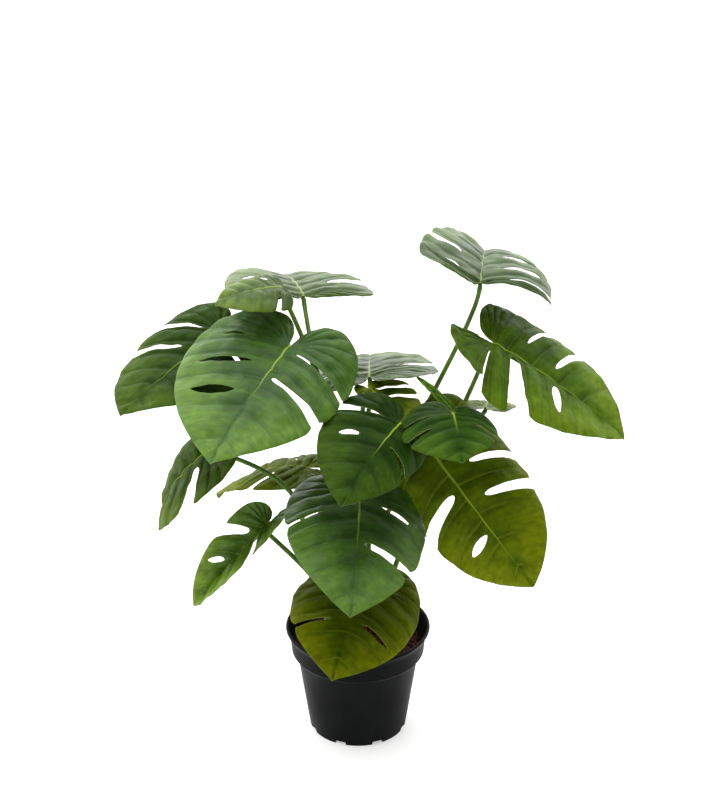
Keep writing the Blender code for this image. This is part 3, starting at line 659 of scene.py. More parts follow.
def leaf_surface(leaf, settings):
    """Points in mm, triangles, edge rows and what the leaf's materials read."""
    blade = Blade(leaf)
    length = blade.length
    rows, faces, rim = flat_leaf(leaf, settings.mesh_step / MM / length)
    points = blade.places(rows)
    normals = corner_normals(points, faces)
    if (normals @ np.array(blade.normal)).mean() < 0:
        faces = faces[:, ::-1]
        normals = -normals
    x, y, vein, share, side = rows.T
    phase = np.zeros(len(rows))
    spacing = np.zeros(len(rows))
    for sign, cuts in ((1, leaf["left"]), (-1, leaf["right"])):
        here = side == sign
        phase[here], spacing[here] = vein_phase(vein[here], cuts)
    # distances in mm: between side veins, from the nearest one, the midrib and the edge
    here_x, here_y = vein_place(vein, share)
    near_x, near_y = vein_place(np.minimum(vein + 0.02, 1.0), share)
    pitch = np.hypot(near_x - here_x, near_y - here_y) / 0.02 * spacing * length
    away = np.abs(phase - np.round(phase))
    from_vein = away * pitch
    from_midrib = np.abs(y) * length
    from_edge = edge_distance(rows, rim, length)
    # broad swells between the side veins, steeper on their inner flank, which level out
    # towards the margin
    across = phase - np.floor(phase)
    bulge = 4 * across * (1 - across) * (1 + 0.5 * (0.5 - across))
    height = settings.relief / MM * bulge * smooth_step(pitch, 3, 16)
    height *= 1 - 0.75 * share**2
    # crisp creases along the side veins, and short ones between them near the midrib
    crease = ridge(from_vein, CREASE_WIDTH) * (1 - smooth_step(share, 0.55, 0.98))
    short = ridge((0.5 - away) * pitch, SHORT_CREASE_WIDTH)
    short *= 1 - smooth_step(share, 0.12, 0.42)
    depth = settings.crease / MM * smooth_step(from_midrib, 1.0, 6.0)
    height -= depth * (crease + SHORT_CREASE_SHARE * short * smooth_step(pitch, 4, 9))
    # the lobes' own slow waves, finer dents all over, and the margin turning down
    spots = [Vector(point) + blade.base for point in points]
    slow, middle, fine = (
        np.array([noise.noise(spot * scale) for spot in spots])
        for scale in NOISE_SCALES
    )
    height += settings.wave / MM * slow * share * (1 - np.exp(-from_edge / 9))
    height += settings.dent / MM * (fine + 3 * middle) * smooth_step(from_midrib, 0, 8)
    turned_down = MARGIN_DROP * np.exp(-from_edge / MARGIN_REACH)
    height -= turned_down * smooth_step(from_midrib, 2, 8)
    # midrib: a raised yellow rib that narrows and sinks into a crease towards the tip
    wide, reach = leaf["rib"]
    reach *= settings.midrib_share
    half = settings.midrib_width / MM / 2 * wide
    half = half * np.clip(1 - x / reach, 0, None) ** 0.8
    tail = smooth_step(x, reach - 0.15, reach + 0.1)
    rib = ridge(from_midrib, half * 0.8 + 0.6)
    rib = rib * (RIB_RISE * (1 - tail) - TIP_CREASE * tail)
    height += rib * smooth_step(x, -0.02, 0.03)
    # bulge and outer also make the top colour paler on the swells and towards the
    # margin and tip, a painted highlight and sheen; the leaf's colour scale from its
    # row is painted light and shade
    values = {
        "from_vein": from_vein,
        "bulge": bulge * smooth_step(pitch, 2.5, 12),
        "outer": smooth_step(0.55 * share + 0.6 * np.clip(x, 0, 1), 0.35, 0.95),
        "from_midrib": from_midrib,
        "midrib_half": half,
        "tone": np.full(len(rows), leaf["tone"]),
        "paleness": np.full(len(rows), leaf["pale"]),
    }
    number = np.full(len(rows), 7.0 * int(leaf["name"]))
    places = {
        "flat_place": np.stack([x * length, y * length, number], 1),
        # the first axis runs across the side veins, the second, squeezed, along them
        "vein_place": np.stack([0.6 * vein * length, 0.05 * share * length, number], 1),
    }
    return points + normals * height[:, None], faces, rim, values, places


def metre_mesh(name, points, faces, materials):
    """A smooth mesh of points in mm."""
    mesh = bpy.data.meshes.new(name)
    mesh.from_pydata((np.asarray(points) * MM).tolist(), [], [list(f) for f in faces])
    mesh.polygons.foreach_set("use_smooth", [True] * len(mesh.polygons))
    for material in materials:
        mesh.materials.append(material)
    mesh.update()
    return mesh


def helper_object(name, data):
    """A new object in the scene."""
    made = bpy.data.objects.new(name, data)
    bpy.context.scene.collection.objects.link(made)
    return made


def placed(name, data, slot, *nodes):
    """The piece in the scene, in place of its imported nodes."""
    piece = helper_object(name, data)
    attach(piece, ROOT)
    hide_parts(*nodes)
    return piece


def make_leaf(leaf, settings, materials):
    points, faces, rim, values, places = leaf_surface(leaf, settings)
    name = "blade_" + leaf["name"]
    mesh = metre_mesh(name, points, faces, materials)
    for key, value in values.items():
        layer = mesh.attributes.new(key, "FLOAT", "POINT")
        layer.data.foreach_set("value", np.ascontiguousarray(value, np.float32))
    for key, value in places.items():
        layer = mesh.attributes.new(key, "FLOAT_VECTOR", "POINT")
        value = np.ascontiguousarray(value * MM, np.float32)
        layer.data.foreach_set("vector", value.ravel())
    used = Counter(
        (min(pair), max(pair)) for a, b, c in faces for pair in ((a, b), (b, c), (c, a))
    )
    border = [used[tuple(sorted(edge.vertices))] == 1 for edge in mesh.edges]
    sharp = mesh.attributes.new("sharp_edge", "BOOLEAN", "EDGE")
    sharp.data.foreach_set("value", border)
    piece = placed(name, mesh, "leaf", "leaf_" + leaf["name"])
    body = piece.vertex_groups.new(name="body")
    body.add(np.flatnonzero(~rim).tolist(), 1.0, "REPLACE")
    thick = piece.modifiers.new("blade thickness", "SOLIDIFY")
    thick.thickness = settings.thickness
    thick.offset = 0.0
    thick.vertex_group = "body"
    thick.thickness_vertex_group = 0.55
    thick.material_offset = 1
    thick.material_offset_rim = 2


# Stems, pot and soil, in millimetres, as in the solids

RIM_RADIUS = 70.0
POT_HEIGHT = 110.0
LIP_DROP = 9.0
COLLAR_TOP_RADIUS = 66.5
COLLAR_FOOT_RADIUS = 61.5
COLLAR_FOOT_HEIGHT = 80.0
BODY_TOP_RADIUS = 59.0
BASE_RADIUS = 47.5
POT_WALL = 1.6
FLOOR_HEIGHT = 6.0
FLOOR_THICK = 1.8
FOOT_WIDTH = 3.2
PAD_RADIUS = 16.0
NOTCH_COUNT = 8
NOTCH_WIDTH = 11.0
NOTCH_HEIGHT = 3.6
NOTCH_FIRST_DEG = -21.0
DRAIN_COUNT = 6
DRAIN_RADIUS = 3.5
DRAIN_CIRCLE = 31.0
SOIL_HEIGHT = 90.0
SOIL_DOME = 9.0
SOIL_GRAIN = 1.1
HOLE_DEPTH = 14.0
BLADE_THICK = 0.8
GAP = 0.3
RIB_END_RADIUS = 0.7
RIB_SHARE = 0.52
RIB_STEPS = 16
KNUCKLE_DROP = 9.0
KNUCKLE_WIDTH = 7.0
KNUCKLE_RISE = 0.32
INNER_RIBS_FOOT = 91.0
INNER_RIBS_TOP = 107.0


def wall_radius(height):
    """Outer radius of the tapered body at a height."""
    share = height / COLLAR_FOOT_HEIGHT
    return BASE_RADIUS + (BODY_TOP_RADIUS - BASE_RADIUS) * share


def inner_radius(height):
    """Inner radius of the pot, which the soil follows."""
    if height < COLLAR_FOOT_HEIGHT:
        return wall_radius(height) - POT_WALL
    share = (height - COLLAR_FOOT_HEIGHT) / (POT_HEIGHT - COLLAR_FOOT_HEIGHT)
    low = BODY_TOP_RADIUS - POT_WALL
    return low + (RIM_RADIUS - 2.4 - low) * share**0.8


def soil_top(x, y):
    share = min(1.0, math.hypot(x, y) / inner_radius(SOIL_HEIGHT))
    return SOIL_HEIGHT + SOIL_DOME * (1 - share * share)


def stem_line(leaf, settings):
    """Centre points in mm and radii of a stem, from its hole to the rib's end."""
    foot = settings.foot_radius / MM
    top = settings.top_radius / MM
    blade = Blade(leaf)
    x, y = leaf["foot"]
    ground = soil_top(x, y)
    path = [
        (Vector((x, y, ground + rise)), foot * swell)
        for rise, swell in ((0.6 - HOLE_DEPTH, 1), (-4.0, 1), (1.0, 1.06), (3.0, 1.02))
    ]
    place, along, upward = blade.frame(0.0)
    end = place - upward * (BLADE_THICK / 2 + GAP + top)
    start = path[-1][0]
    reach = (end - start).length
    # it leaves the soil on the way to its blade, turned up a little
    lean = (end - start).normalized() * 0.72 + Vector((0, 0, 0.28))
    tangent_in = lean.normalized() * reach * 1.1
    aside_x, aside_y, widest, crook = leaf["sway"]
    tangent_out = (along * 0.55 + upward * 0.85).normalized() * reach * crook
    sway = Vector((aside_x, aside_y, 0))
    power = math.log(0.5) / math.log(widest)
    steps = max(28, round(reach / 7))
    for k in range(1, steps + 1):
        u = k / steps
        spot = start * (2 * u**3 - 3 * u**2 + 1)
        spot += tangent_in * (u**3 - 2 * u**2 + u)
        spot += end * (3 * u**2 - 2 * u**3) + tangent_out * (u**3 - u**2)
        spot += sway * math.sin(math.pi * u**power) ** 2
        # the knuckle that turns the blade swells the stem's last stretch
        below = (1 - u) * reach - KNUCKLE_DROP
        knuckle = KNUCKLE_RISE * math.exp(-((below / KNUCKLE_WIDTH) ** 2))
        path.append((spot, foot + (top - foot) * u + knuckle))
    for k in range(1, RIB_STEPS + 1):
        radius = top + (RIB_END_RADIUS - top) * k / RIB_STEPS
        place, _, upward = blade.frame(RIB_SHARE * k / RIB_STEPS)
        sunk = 0.35 * min(1.0, k / 3)
        path.append((place - upward * (BLADE_THICK / 2 + GAP + radius - sunk), radius))
    return path


def make_stem(leaf, settings, material):
    name = "petiole_" + leaf["name"]
    path = stem_line(leaf, settings)
    curve = bpy.data.curves.new(name, "CURVE")
    curve.dimensions = "3D"
    curve.bevel_depth = settings.foot_radius
    curve.bevel_resolution = 4
    curve.use_fill_caps = True
    line = curve.splines.new("POLY")
    line.points.add(len(path) - 1)
    line.use_smooth = True
    for point, (centre, radius) in zip(line.points, path):
        point.co = (*(centre * MM), 1.0)
        point.radius = radius * MM / settings.foot_radius
    curve.materials.append(material)
    placed(name, curve, "stem", "stem_" + leaf["name"])


def pot_profile():
    """Up the inside from the middle of the floor, over the lip and down the outside."""
    ledge = FLOOR_HEIGHT - FLOOR_THICK
    foot = BASE_RADIUS - FOOT_WIDTH
    lip = POT_HEIGHT - LIP_DROP
    outer = [
        (0.0, 0.0),
        (PAD_RADIUS - 0.5, 0.0),
        (PAD_RADIUS, 0.2),
        (PAD_RADIUS + 1.8, ledge - 0.2),
        (PAD_RADIUS + 2.4, ledge),
        (foot - 0.8, ledge),
        (foot - 0.2, 0.4),
        (foot + 0.3, 0.0),
        (BASE_RADIUS - 0.8, 0.0),
        (BASE_RADIUS - 0.2, 0.3),
        (BASE_RADIUS, 1.0),
        (wall_radius(45.0), 45.0),
        (BODY_TOP_RADIUS - 0.1, COLLAR_FOOT_HEIGHT - 0.8),
        (BODY_TOP_RADIUS + 0.3, COLLAR_FOOT_HEIGHT),
        (COLLAR_FOOT_RADIUS - 0.3, COLLAR_FOOT_HEIGHT + 0.3),
        (COLLAR_FOOT_RADIUS, COLLAR_FOOT_HEIGHT + 0.8),
        (COLLAR_FOOT_RADIUS + 3.0, COLLAR_FOOT_HEIGHT + 4.5),
        (COLLAR_TOP_RADIUS - 0.6, lip - 2.0),
        (COLLAR_TOP_RADIUS, lip + 1.0),
        (COLLAR_TOP_RADIUS + 0.5, lip + 2.0),
    ]
    # the rolled rim, as steps inward and down from its widest and highest lines
    outer += [
        (RIM_RADIUS - inward, POT_HEIGHT - down)
        for inward, down in (
            (0.7, 3.4), (0.1, 2.2), (0.0, 1.4), (0.15, 0.7), (0.6, 0.15), (1.3, 0.0),
            (2.0, 0.25),
        )
    ]
    inner = [
        (inner_radius(POT_HEIGHT) - 0.1, POT_HEIGHT - 1.0),
        (inner_radius(106.5) - 0.1, 106.5),
        *((inner_radius(height), height) for height in (102.0, 98.0, 95.0, 92.0)),
        (BODY_TOP_RADIUS - POT_WALL, COLLAR_FOOT_HEIGHT),
        (wall_radius(FLOOR_HEIGHT) - POT_WALL, FLOOR_HEIGHT),
        (0.0, FLOOR_HEIGHT),
    ]
    return (outer + inner)[::-1]


def applied_mesh(obj, name):
    """The object's mesh as its modifiers leave it. The object goes."""
    graph = bpy.context.evaluated_depsgraph_get()
    made = bpy.data.meshes.new_from_object(obj.evaluated_get(graph))
    bpy.data.objects.remove(obj, do_unlink=True)
    made.name = name
    return made


def turned_mesh(name, profile, sides):
    """A profile of (radius, height) turned about Z, seam closed."""
    mesh = bpy.data.meshes.new(name)
    points = [(radius * MM, 0.0, height * MM) for radius, height in profile]
    mesh.from_pydata(points, [(k, k + 1) for k in range(len(points) - 1)], [])
    obj = helper_object(name + "_profile", mesh)
    screw = obj.modifiers.new("turn", "SCREW")
    screw.steps = sides
    screw.render_steps = sides
    screw.use_merge_vertices = True
    screw.merge_threshold = 0.00005
    return applied_mesh(obj, name)


def sharpen(mesh, degrees):
    """Smooth shading with the steep edges kept crisp."""
    shape = bmesh.new()
    shape.from_mesh(mesh)
    for face in shape.faces:
        face.smooth = True
    for edge in shape.edges:
        turn = edge.calc_face_angle(0.0) if len(edge.link_faces) == 2 else 0.0
        edge.smooth = turn < math.radians(degrees)
    shape.to_mesh(mesh)
    shape.free()


def pot_cutters():
    """What is cut from the pot: the notches of its foot ring and the drain holes."""
    shape = bmesh.new()
    for i in range(NOTCH_COUNT):
        angle = math.radians(NOTCH_FIRST_DEG + 360.0 * i / NOTCH_COUNT - 90.0)
        found = bmesh.ops.create_cube(shape, size=1.0)["verts"]
        size = (FOOT_WIDTH + 8.0, NOTCH_WIDTH, 2 * NOTCH_HEIGHT)
        bmesh.ops.scale(shape, vec=[c * MM for c in size], verts=found)
        middle = Vector((BASE_RADIUS - FOOT_WIDTH / 2, 0, 0)) * MM
        bmesh.ops.translate(shape, vec=middle, verts=found)
        turn = Matrix.Rotation(angle, 3, "Z")
        bmesh.ops.rotate(shape, cent=(0, 0, 0), matrix=turn, verts=found)
    # round the top edges that run through the ring
    tops = [
        edge
        for edge in shape.edges
        if all(v.co.z > 0 for v in edge.verts)
        and abs(edge.verts[0].co.xy.length - edge.verts[1].co.xy.length) > 5 * MM
    ]
    bmesh.ops.bevel(
        shape, geom=tops, offset=1.2 * MM, segments=4, profile=0.5, affect="EDGES"
    )
    for i in range(DRAIN_COUNT):
        angle = 2 * math.pi * (i + 0.25) / DRAIN_COUNT
        place = Vector((math.cos(angle), math.sin(angle), 0)) * DRAIN_CIRCLE * MM
        place.z = 5 * MM
        bmesh.ops.create_cone(
            shape,
            cap_ends=True,
            segments=32,
            radius1=DRAIN_RADIUS * MM,
            radius2=DRAIN_RADIUS * MM,
            depth=6 * MM,
            matrix=Matrix.Translation(place),
        )
    mesh = bpy.data.meshes.new("pot_cutters")
    shape.to_mesh(mesh)
    shape.free()
    return mesh


def make_pot(settings, material):
    """The nursery pot: turned, ribbed in its collar, notched at the foot, drained."""
    mesh = turned_mesh("nursery_pot", pot_profile(), settings.sides)
    for corner in mesh.vertices:
        x, y, z = corner.co / MM
        r = math.hypot(x, y)
        inside = 30 < r < inner_radius(z) + 0.3
        if inside and INNER_RIBS_FOOT < z < INNER_RIBS_TOP:
            rise = 0.5 + 0.5 * math.cos(settings.rib_count * math.atan2(y, x))
            cut = settings.rib_height / MM * rise**2
            cut *= min(1.0, (INNER_RIBS_TOP - z) / 4)
            corner.co.x *= (r - cut) / r
            corner.co.y *= (r - cut) / r
    pot = helper_object("pot_blank", mesh)
    cutter = helper_object("pot_cutters", pot_cutters())
    cut = pot.modifiers.new("notches and drains", "BOOLEAN")
    cut.operation = "DIFFERENCE"
    cut.solver = "EXACT"
    cut.object = cutter
    made = applied_mesh(pot, "nursery_pot")
    bpy.data.objects.remove(cutter, do_unlink=True)
    sharpen(made, 32)
    made.materials.clear()
    made.materials.append(material)
    placed("nursery_pot", made, "pot", "pot")


def crumbly(x, y):
    """Height of the soil's surface in mm: the solid's waves and finer crumbs."""
    edge = inner_radius(SOIL_HEIGHT) - GAP
    calm = 1.0 - smooth_step(np.array(math.hypot(x, y)), edge * 0.9, edge)
    waves = math.sin(0.61 * x + 1.3) * math.cos(0.53 * y)
    waves += 0.7 * math.sin(0.37 * x - 0.71 * y + 0.6)
    waves += 0.5 * math.cos(0.93 * y + 0.29 * x)
    place = Vector((x, y, 0.0))
    rough = noise.noise(place * 0.35) * 1.1 + noise.noise(place * 0.9) * 0.8
    rough += noise.noise(place * 2.1 + Vector((3, 5, 7))) * 0.45
    return soil_top(x, y) + (SOIL_GRAIN * waves / 1.6 * 0.7 + rough) * float(calm)


# steps of share, turn and size that scatter the crumbs evenly, without a pattern
SHARE_STEP = 0.6180339887
TURN_STEP = 2.39996323
SIZE_STEP = 0.7548776662


def crumb_shape():
    """Corners and triangles of one round crumb of unit radius."""
    shape = bmesh.new()
    bmesh.ops.create_icosphere(shape, subdivisions=2, radius=1.0)
    corners = [corner.co.copy() for corner in shape.verts]
    faces = [[corner.index for corner in face.verts] for face in shape.faces]
    shape.free()
    return corners, faces


def soil_body(step):
    """Points and faces of the bed: a crumbly top, and plain sides down the pot."""
    edge = inner_radius(SOIL_HEIGHT) - GAP
    ring = max(96, round(2 * math.pi * edge / step))
    turns = [2 * math.pi * k / ring for k in range(ring)]
    flat = [(edge * math.cos(turn), edge * math.sin(turn)) for turn in turns]
    rows = math.ceil(edge / step)
    for j in range(-rows - 3, rows + 4):
        for i in range(-rows - 1, rows + 1):
            x = (i + 0.5 * (j % 2)) * step
            y = j * step * 0.866
            if math.hypot(x, y) < edge - 0.6 * step:
                flat.append((x, y))
    loop = [(k, (k + 1) % ring) for k in range(ring)]
    made = delaunay_2d_cdt([Vector(p) for p in flat], loop, [], 1, 1e-6, True)
    points = [(p[0], p[1], crumbly(p[0], p[1])) for p in made[0]]
    faces = [list(face) for face in made[2]]
    back = {ids[0]: k for k, ids in enumerate(made[3]) if ids}
    last = [back[k] for k in range(ring)]
    for height, radius in (
        (COLLAR_FOOT_HEIGHT - 1.0, BODY_TOP_RADIUS - POT_WALL - GAP - 0.1),
        (FLOOR_HEIGHT + GAP, wall_radius(FLOOR_HEIGHT) - POT_WALL - GAP - 0.4),
    ):
        now = [len(points) + k for k in range(ring)]
        points += [
            (x * radius / edge, y * radius / edge, height) for x, y in flat[:ring]
        ]
        faces += [[last[a], now[a], now[b], last[b]] for a, b in loop]
        last = now
    faces.append(last[::-1])
    return points, faces


def make_soil(settings, materials):
    """Potting mix: the bed and the loose crumbs and bark bits on it."""
    points, faces = soil_body(settings.mesh_step / MM)
    kinds = [0] * len(faces)
    field = inner_radius(SOIL_HEIGHT) - GAP - 2.5
    round_corners, round_faces = crumb_shape()
    for i in range(settings.crumbs):
        seed = Vector((i * 0.731, i * 1.377, i * 2.173))
        share = ((i * SHARE_STEP) % 1.0) ** 0.5
        turn = i * TURN_STEP
        x = share * field * math.cos(turn) + 2.0 * noise.noise(seed)
        y = share * field * math.sin(turn) + 2.0 * noise.noise(seed.zxy)
        size = 0.45 + 1.5 * ((i * SIZE_STEP) % 1.0) ** 3
        stems = (leaf["foot"] for leaf in LEAVES)
        if any(math.hypot(x - a, y - b) < 3.7 + size for a, b in stems):
            continue
        spin = Matrix.Rotation(i * 1.7, 3, "X") @ Matrix.Rotation(i * 2.9, 3, "Z")
        middle = Vector((x, y, crumbly(x, y) + size * 0.25))
        first = len(points)
        for corner in round_corners:
            lump = corner * (1 + 0.35 * noise.noise(corner * size * 0.9 + seed * 7))
            lump.z *= 0.75
            points.append(tuple(middle + spin @ lump * size))
        faces += [[first + k for k in face] for face in round_faces]
        kinds += [1 if i % 11 == 0 and size < 1.4 else 0] * len(round_faces)
    mesh = metre_mesh("potting_soil", points, faces, materials)
    mesh.polygons.foreach_set("material_index", kinds)
    placed("potting_soil", mesh, "soil", "soil")


# Materials

WHITE = (1.0, 1.0, 1.0, 1.0)
# what many nodes are set to: a Map Range that eases in and out, and a Mix of colours
SMOOTH = {"interpolation_type": "SMOOTHSTEP"}
COLOURS = {"data_type": "RGBA", "output": 2}


def leaf_top_material(name, gloss, settings):
    """Upper side of a leaf: a waxy skin over green flesh.

    To the eye it is satin, with a yellow-green midrib. Its colour is deep green along
    the side veins and towards the stem, painted shade in the creases, and paler where
    it swells and out to the margin and tip, a painted highlight and sheen. A young
    blade is olive and lets light through.
    """
    material, add = new_tree(bpy.data.materials, name)
    flat_place, streak_place = (
        add("Attribute", output="Vector", attribute_name=key)
        for key in ("flat_place", "vein_place")
    )
    from_vein, bulge, outer, from_midrib, rib_half, tone, paleness = (
        add("Attribute", output="Fac", attribute_name=key)
        for key in (
            "from_vein", "bulge", "outer", "from_midrib", "midrib_half", "tone",
            "paleness",
        )
    )
    # cloudy patches about 35 mm across, finer mottling of 6 mm, and streaks 2 mm wide
    # that follow the side veins
    clouds, mottle, streaks = (
        add("TexNoise", {"Vector": place, "Scale": scale, "Detail": detail})
        for place, scale, detail in (
            (flat_place, 28.0, 2.0),
            (flat_place, 160.0, 4.0),
            (streak_place, 480.0, 3.0),
        )
    )
    # paler towards the margin and tip and on the swells, in soft patches: a painted
    # sheen towards the margin and tip and a painted highlight on the swells, which
    # leave painted shade in the creases and towards the stem
    outward = add("Math", (clouds, 0.9, outer), operation="MULTIPLY_ADD")
    outward = add("Math", (bulge, 0.35, outward), operation="MULTIPLY_ADD")
    shares = {
        "_light": add("MapRange", (outward, 0.30, 1.20), **SMOOTH),
        "_band": add("MapRange", (outward, 0.85, 1.75), **SMOOTH),
        # along the side veins a grown leaf turns darker, painted shade in the creases,
        # and a young one has paler veins
        "_vein": add("MapRange", (from_vein, 0.2, 1.8, 0.55, 0.0), **SMOOTH),
    }
    tones = []
    for age in ("grown", "young"):
        colour = getattr(settings, age + "_deep")
        for part, share in shares.items():
            target = getattr(settings, age + part)
            colour = add("Mix", {0: share, 6: colour, 7: target}, **COLOURS)
        tones.append(colour)
    colour = add("Mix", {0: tone, 6: tones[0], 7: tones[1]}, **COLOURS)
    # mottled and streaked lighter and darker, and scaled lighter or darker by the
    # leaf's row as painted light and shade
    shades = [
        add("MapRange", (pattern, 0.32, 0.68, low, high))
        for pattern, low, high in ((mottle, 0.86, 1.12), (streaks, 0.82, 1.16))
    ]
    for shade in (*shades, paleness):
        colour = add("VectorMath", {0: colour, "Scale": shade}, operation="SCALE")
    # the midrib: full colour within its half width, gone 0.6 mm outside it
    beyond = add("Math", (from_midrib, rib_half), operation="SUBTRACT")
    edge = add("MapRange", (beyond, -0.5, 0.6, 1.0, 0.0), **SMOOTH)
    there = add("MapRange", (rib_half, 0.05, 0.7))
    share = add("Math", (edge, there), operation="MULTIPLY")
    colour = add("Mix", {0: share, 6: colour, 7: settings.midrib}, **COLOURS)
    rough = add("MapRange", (mottle, 0.3, 0.7, 0.35, 0.48))
    bump = add("Bump", {"Height": streaks, "Distance": 0.0004, "Strength": 0.5})
    inputs = {"Base Color": colour, "Roughness": rough, "Normal": bump, "IOR": 1.45}
    inputs["Specular IOR Level"] = gloss
    skin = add("BsdfPrincipled", inputs)
    glow = add("BsdfTranslucent", {"Color": colour, "Normal": bump})
    through = add("MapRange", (tone, 0.0, 1.0, 0.10, 0.30))
    both = add("MixShader", (through, skin, glow))
    add("OutputMaterial", (both,))
    return material


def leaf_under_material(settings):
    """Under side of a leaf: paler and duller, with the side veins showing light."""
    material, add = new_tree(bpy.data.materials, "matt_leaf_under_side")
    place = add("Attribute", output="Vector", attribute_name="flat_place")
    from_vein, tone = (
        add("Attribute", output="Fac", attribute_name=key)
        for key in ("from_vein", "tone")
    )
    clouds, cells = (
        add("TexNoise", {"Vector": place, "Scale": scale, "Detail": detail})
        for scale, detail in ((60.0, 4.0), (700.0, 2.0))
    )
    line = add("MapRange", (from_vein, 0.4, 1.3, 0.7, 0.0), **SMOOTH)
    colour = settings.under_deep
    for share, target in (
        (clouds, settings.under_light),
        (tone, settings.under_young),
        (line, settings.under_vein),
    ):
        colour = add("Mix", {0: share, 6: colour, 7: target}, **COLOURS)
    bump = add("Bump", {"Height": cells, "Distance": 0.0003, "Strength": 0.5})
    inputs = {"Base Color": colour, "Roughness": 0.6, "Normal": bump, "IOR": 1.45}
    inputs["Specular IOR Level"] = settings.matt_gloss
    skin = add("BsdfPrincipled", inputs)
    glow = add("BsdfTranslucent", {"Color": colour, "Normal": bump})
    both = add("MixShader", (0.2, skin, glow))
    add("OutputMaterial", (both,))
    return material


def leaf_edge_material(settings):
    """The blade's cut edge: a thin pale cartilage line, a little uneven in colour."""
    material, add = new_tree(bpy.data.materials, "pale_leaf_margin")
    place = add("TexCoord", output="Object")
    clouds = add("TexNoise", {"Vector": place, "Scale": 120.0, "Detail": 3.0})
    inputs = {0: clouds, 6: settings.edge_deep, 7: settings.edge_light}
    colour = add("Mix", inputs, **COLOURS)
    skin = add("BsdfPrincipled", {"Base Color": colour, "Roughness": 0.5, "IOR": 1.45})
    add("OutputMaterial", (skin,))
    return material


def stem_material(settings):
    """Leaf stalk: smooth firm skin with fine lengthwise streaks and pale flecks."""
    material, add = new_tree(bpy.data.materials, "smooth_leaf_stalk")
    place = add("TexCoord", output="Object")
    # streaks 25 mm long and 1.5 mm wide, as the stalk's fibres lie nearly upright, and
    # flecks about 30 mm apart
    stretched = add("Mapping", {"Vector": place, "Scale": (1.0, 1.0, 0.08)})
    streaks, clouds = (
        add("TexNoise", {"Vector": where, "Scale": scale, "Detail": 2.0})
        for where, scale in ((stretched, 650.0), (place, 35.0))
    )
    share = add("Math", (streaks, clouds), operation="ADD")
    share = add("MapRange", (share, 0.75, 1.25))
    inputs = {0: share, 6: settings.stalk_deep, 7: settings.stalk_light}
    colour = add("Mix", inputs, **COLOURS)
    # the reddish sheath from the soil up, gone by about 125 mm above the floor
    height = add("SeparateXYZ", (place,), output="Z")
    height = add("Math", (clouds, 0.03, height), operation="MULTIPLY_ADD")
    foot = add("MapRange", (height, 0.120, 0.142, 1.0, 0.0), **SMOOTH)
    colour = add("Mix", {0: foot, 6: colour, 7: settings.sheath}, **COLOURS)
    bump = add("Bump", {"Height": streaks, "Distance": 0.0002, "Strength": 0.5})
    inputs = {"Base Color": colour, "Roughness": 0.45, "Normal": bump, "IOR": 1.45}
    inputs["Specular IOR Level"] = 0.2
    skin = add("BsdfPrincipled", inputs)
    add("OutputMaterial", (skin,))
    return material


def pot_material(settings):
    """Black polypropylene, thermoformed: satin, faintly dusty, with an orange peel."""
    material, add = new_tree(bpy.data.materials, "satin_black_polypropylene")
    place = add("TexCoord", output="Object")
    # dust in patches of about 35 mm, and an orange peel of about 2.4 mm
    dust, peel = (
        add("TexNoise", {"Vector": place, "Scale": scale, "Detail": detail})
        for scale, detail in ((28.0, 5.0), (420.0, 2.0))
    )
    share = add("MapRange", (dust, 0.45, 0.8, 0.0, 0.5))
    colour = add("Mix", {0: share, 6: settings.plastic, 7: settings.dust}, **COLOURS)
    rough = add("MapRange", (dust, 0.3, 0.7, 0.34, 0.5))
    bump = add("Bump", {"Height": peel, "Distance": 0.00012, "Strength": 0.4})
    inputs = {"Base Color": colour, "Roughness": rough, "Normal": bump, "IOR": 1.49}
    inputs["Specular IOR Level"] = 0.03
    skin = add("BsdfPrincipled", inputs)
    add("OutputMaterial", (skin,))
    return material


def soil_material(name, deep, light, scale):
    """Potting soil or its bits: damp peat that is matt and mottled grain by grain."""
    material, add = new_tree(bpy.data.materials, name)
    place = add("TexCoord", output="Object")
    grains = add("TexVoronoi", {"Vector": place, "Scale": scale}, output="Color")
    grains = add("SeparateColor", {"Color": grains})
    fine = add("TexNoise", {"Vector": place, "Scale": scale * 1.7, "Detail": 4.0})
    share = add("Math", (grains, fine), operation="MULTIPLY")
    share = add("MapRange", (share, 0.05, 0.5))
    colour = add("Mix", {0: share, 6: deep, 7: light}, **COLOURS)
    bump = add("Bump", {"Height": fine, "Distance": 0.0012, "Strength": 0.9})
    inputs = {"Base Color": colour, "Roughness": 0.92, "Normal": bump}
    inputs["Specular IOR Level"] = 0.2
    skin = add("BsdfPrincipled", inputs)
    add("OutputMaterial", (skin,))
    return material


def paper_material(colour, glow):
    """White paper over a light table: matt, faintly cloudy, lit a little from below."""
    material, add = new_tree(bpy.data.materials, "white_paper_sweep")
    place = add("TexCoord", output="Object")
    clouds = add("TexNoise", {"Vector": place, "Scale": 2.0, "Detail": 2.0})
    dim = (*(c * 0.985 for c in colour[:3]), 1.0)
    made = add("Mix", {0: clouds, 6: dim, 7: colour}, **COLOURS)
    inputs = {"Base Color": made, "Roughness": 0.9, "Specular IOR Level": 0.1}
    inputs |= {"Emission Color": WHITE, "Emission Strength": glow}
    skin = add("BsdfPrincipled", inputs)
    add("OutputMaterial", (skin,))
    return material


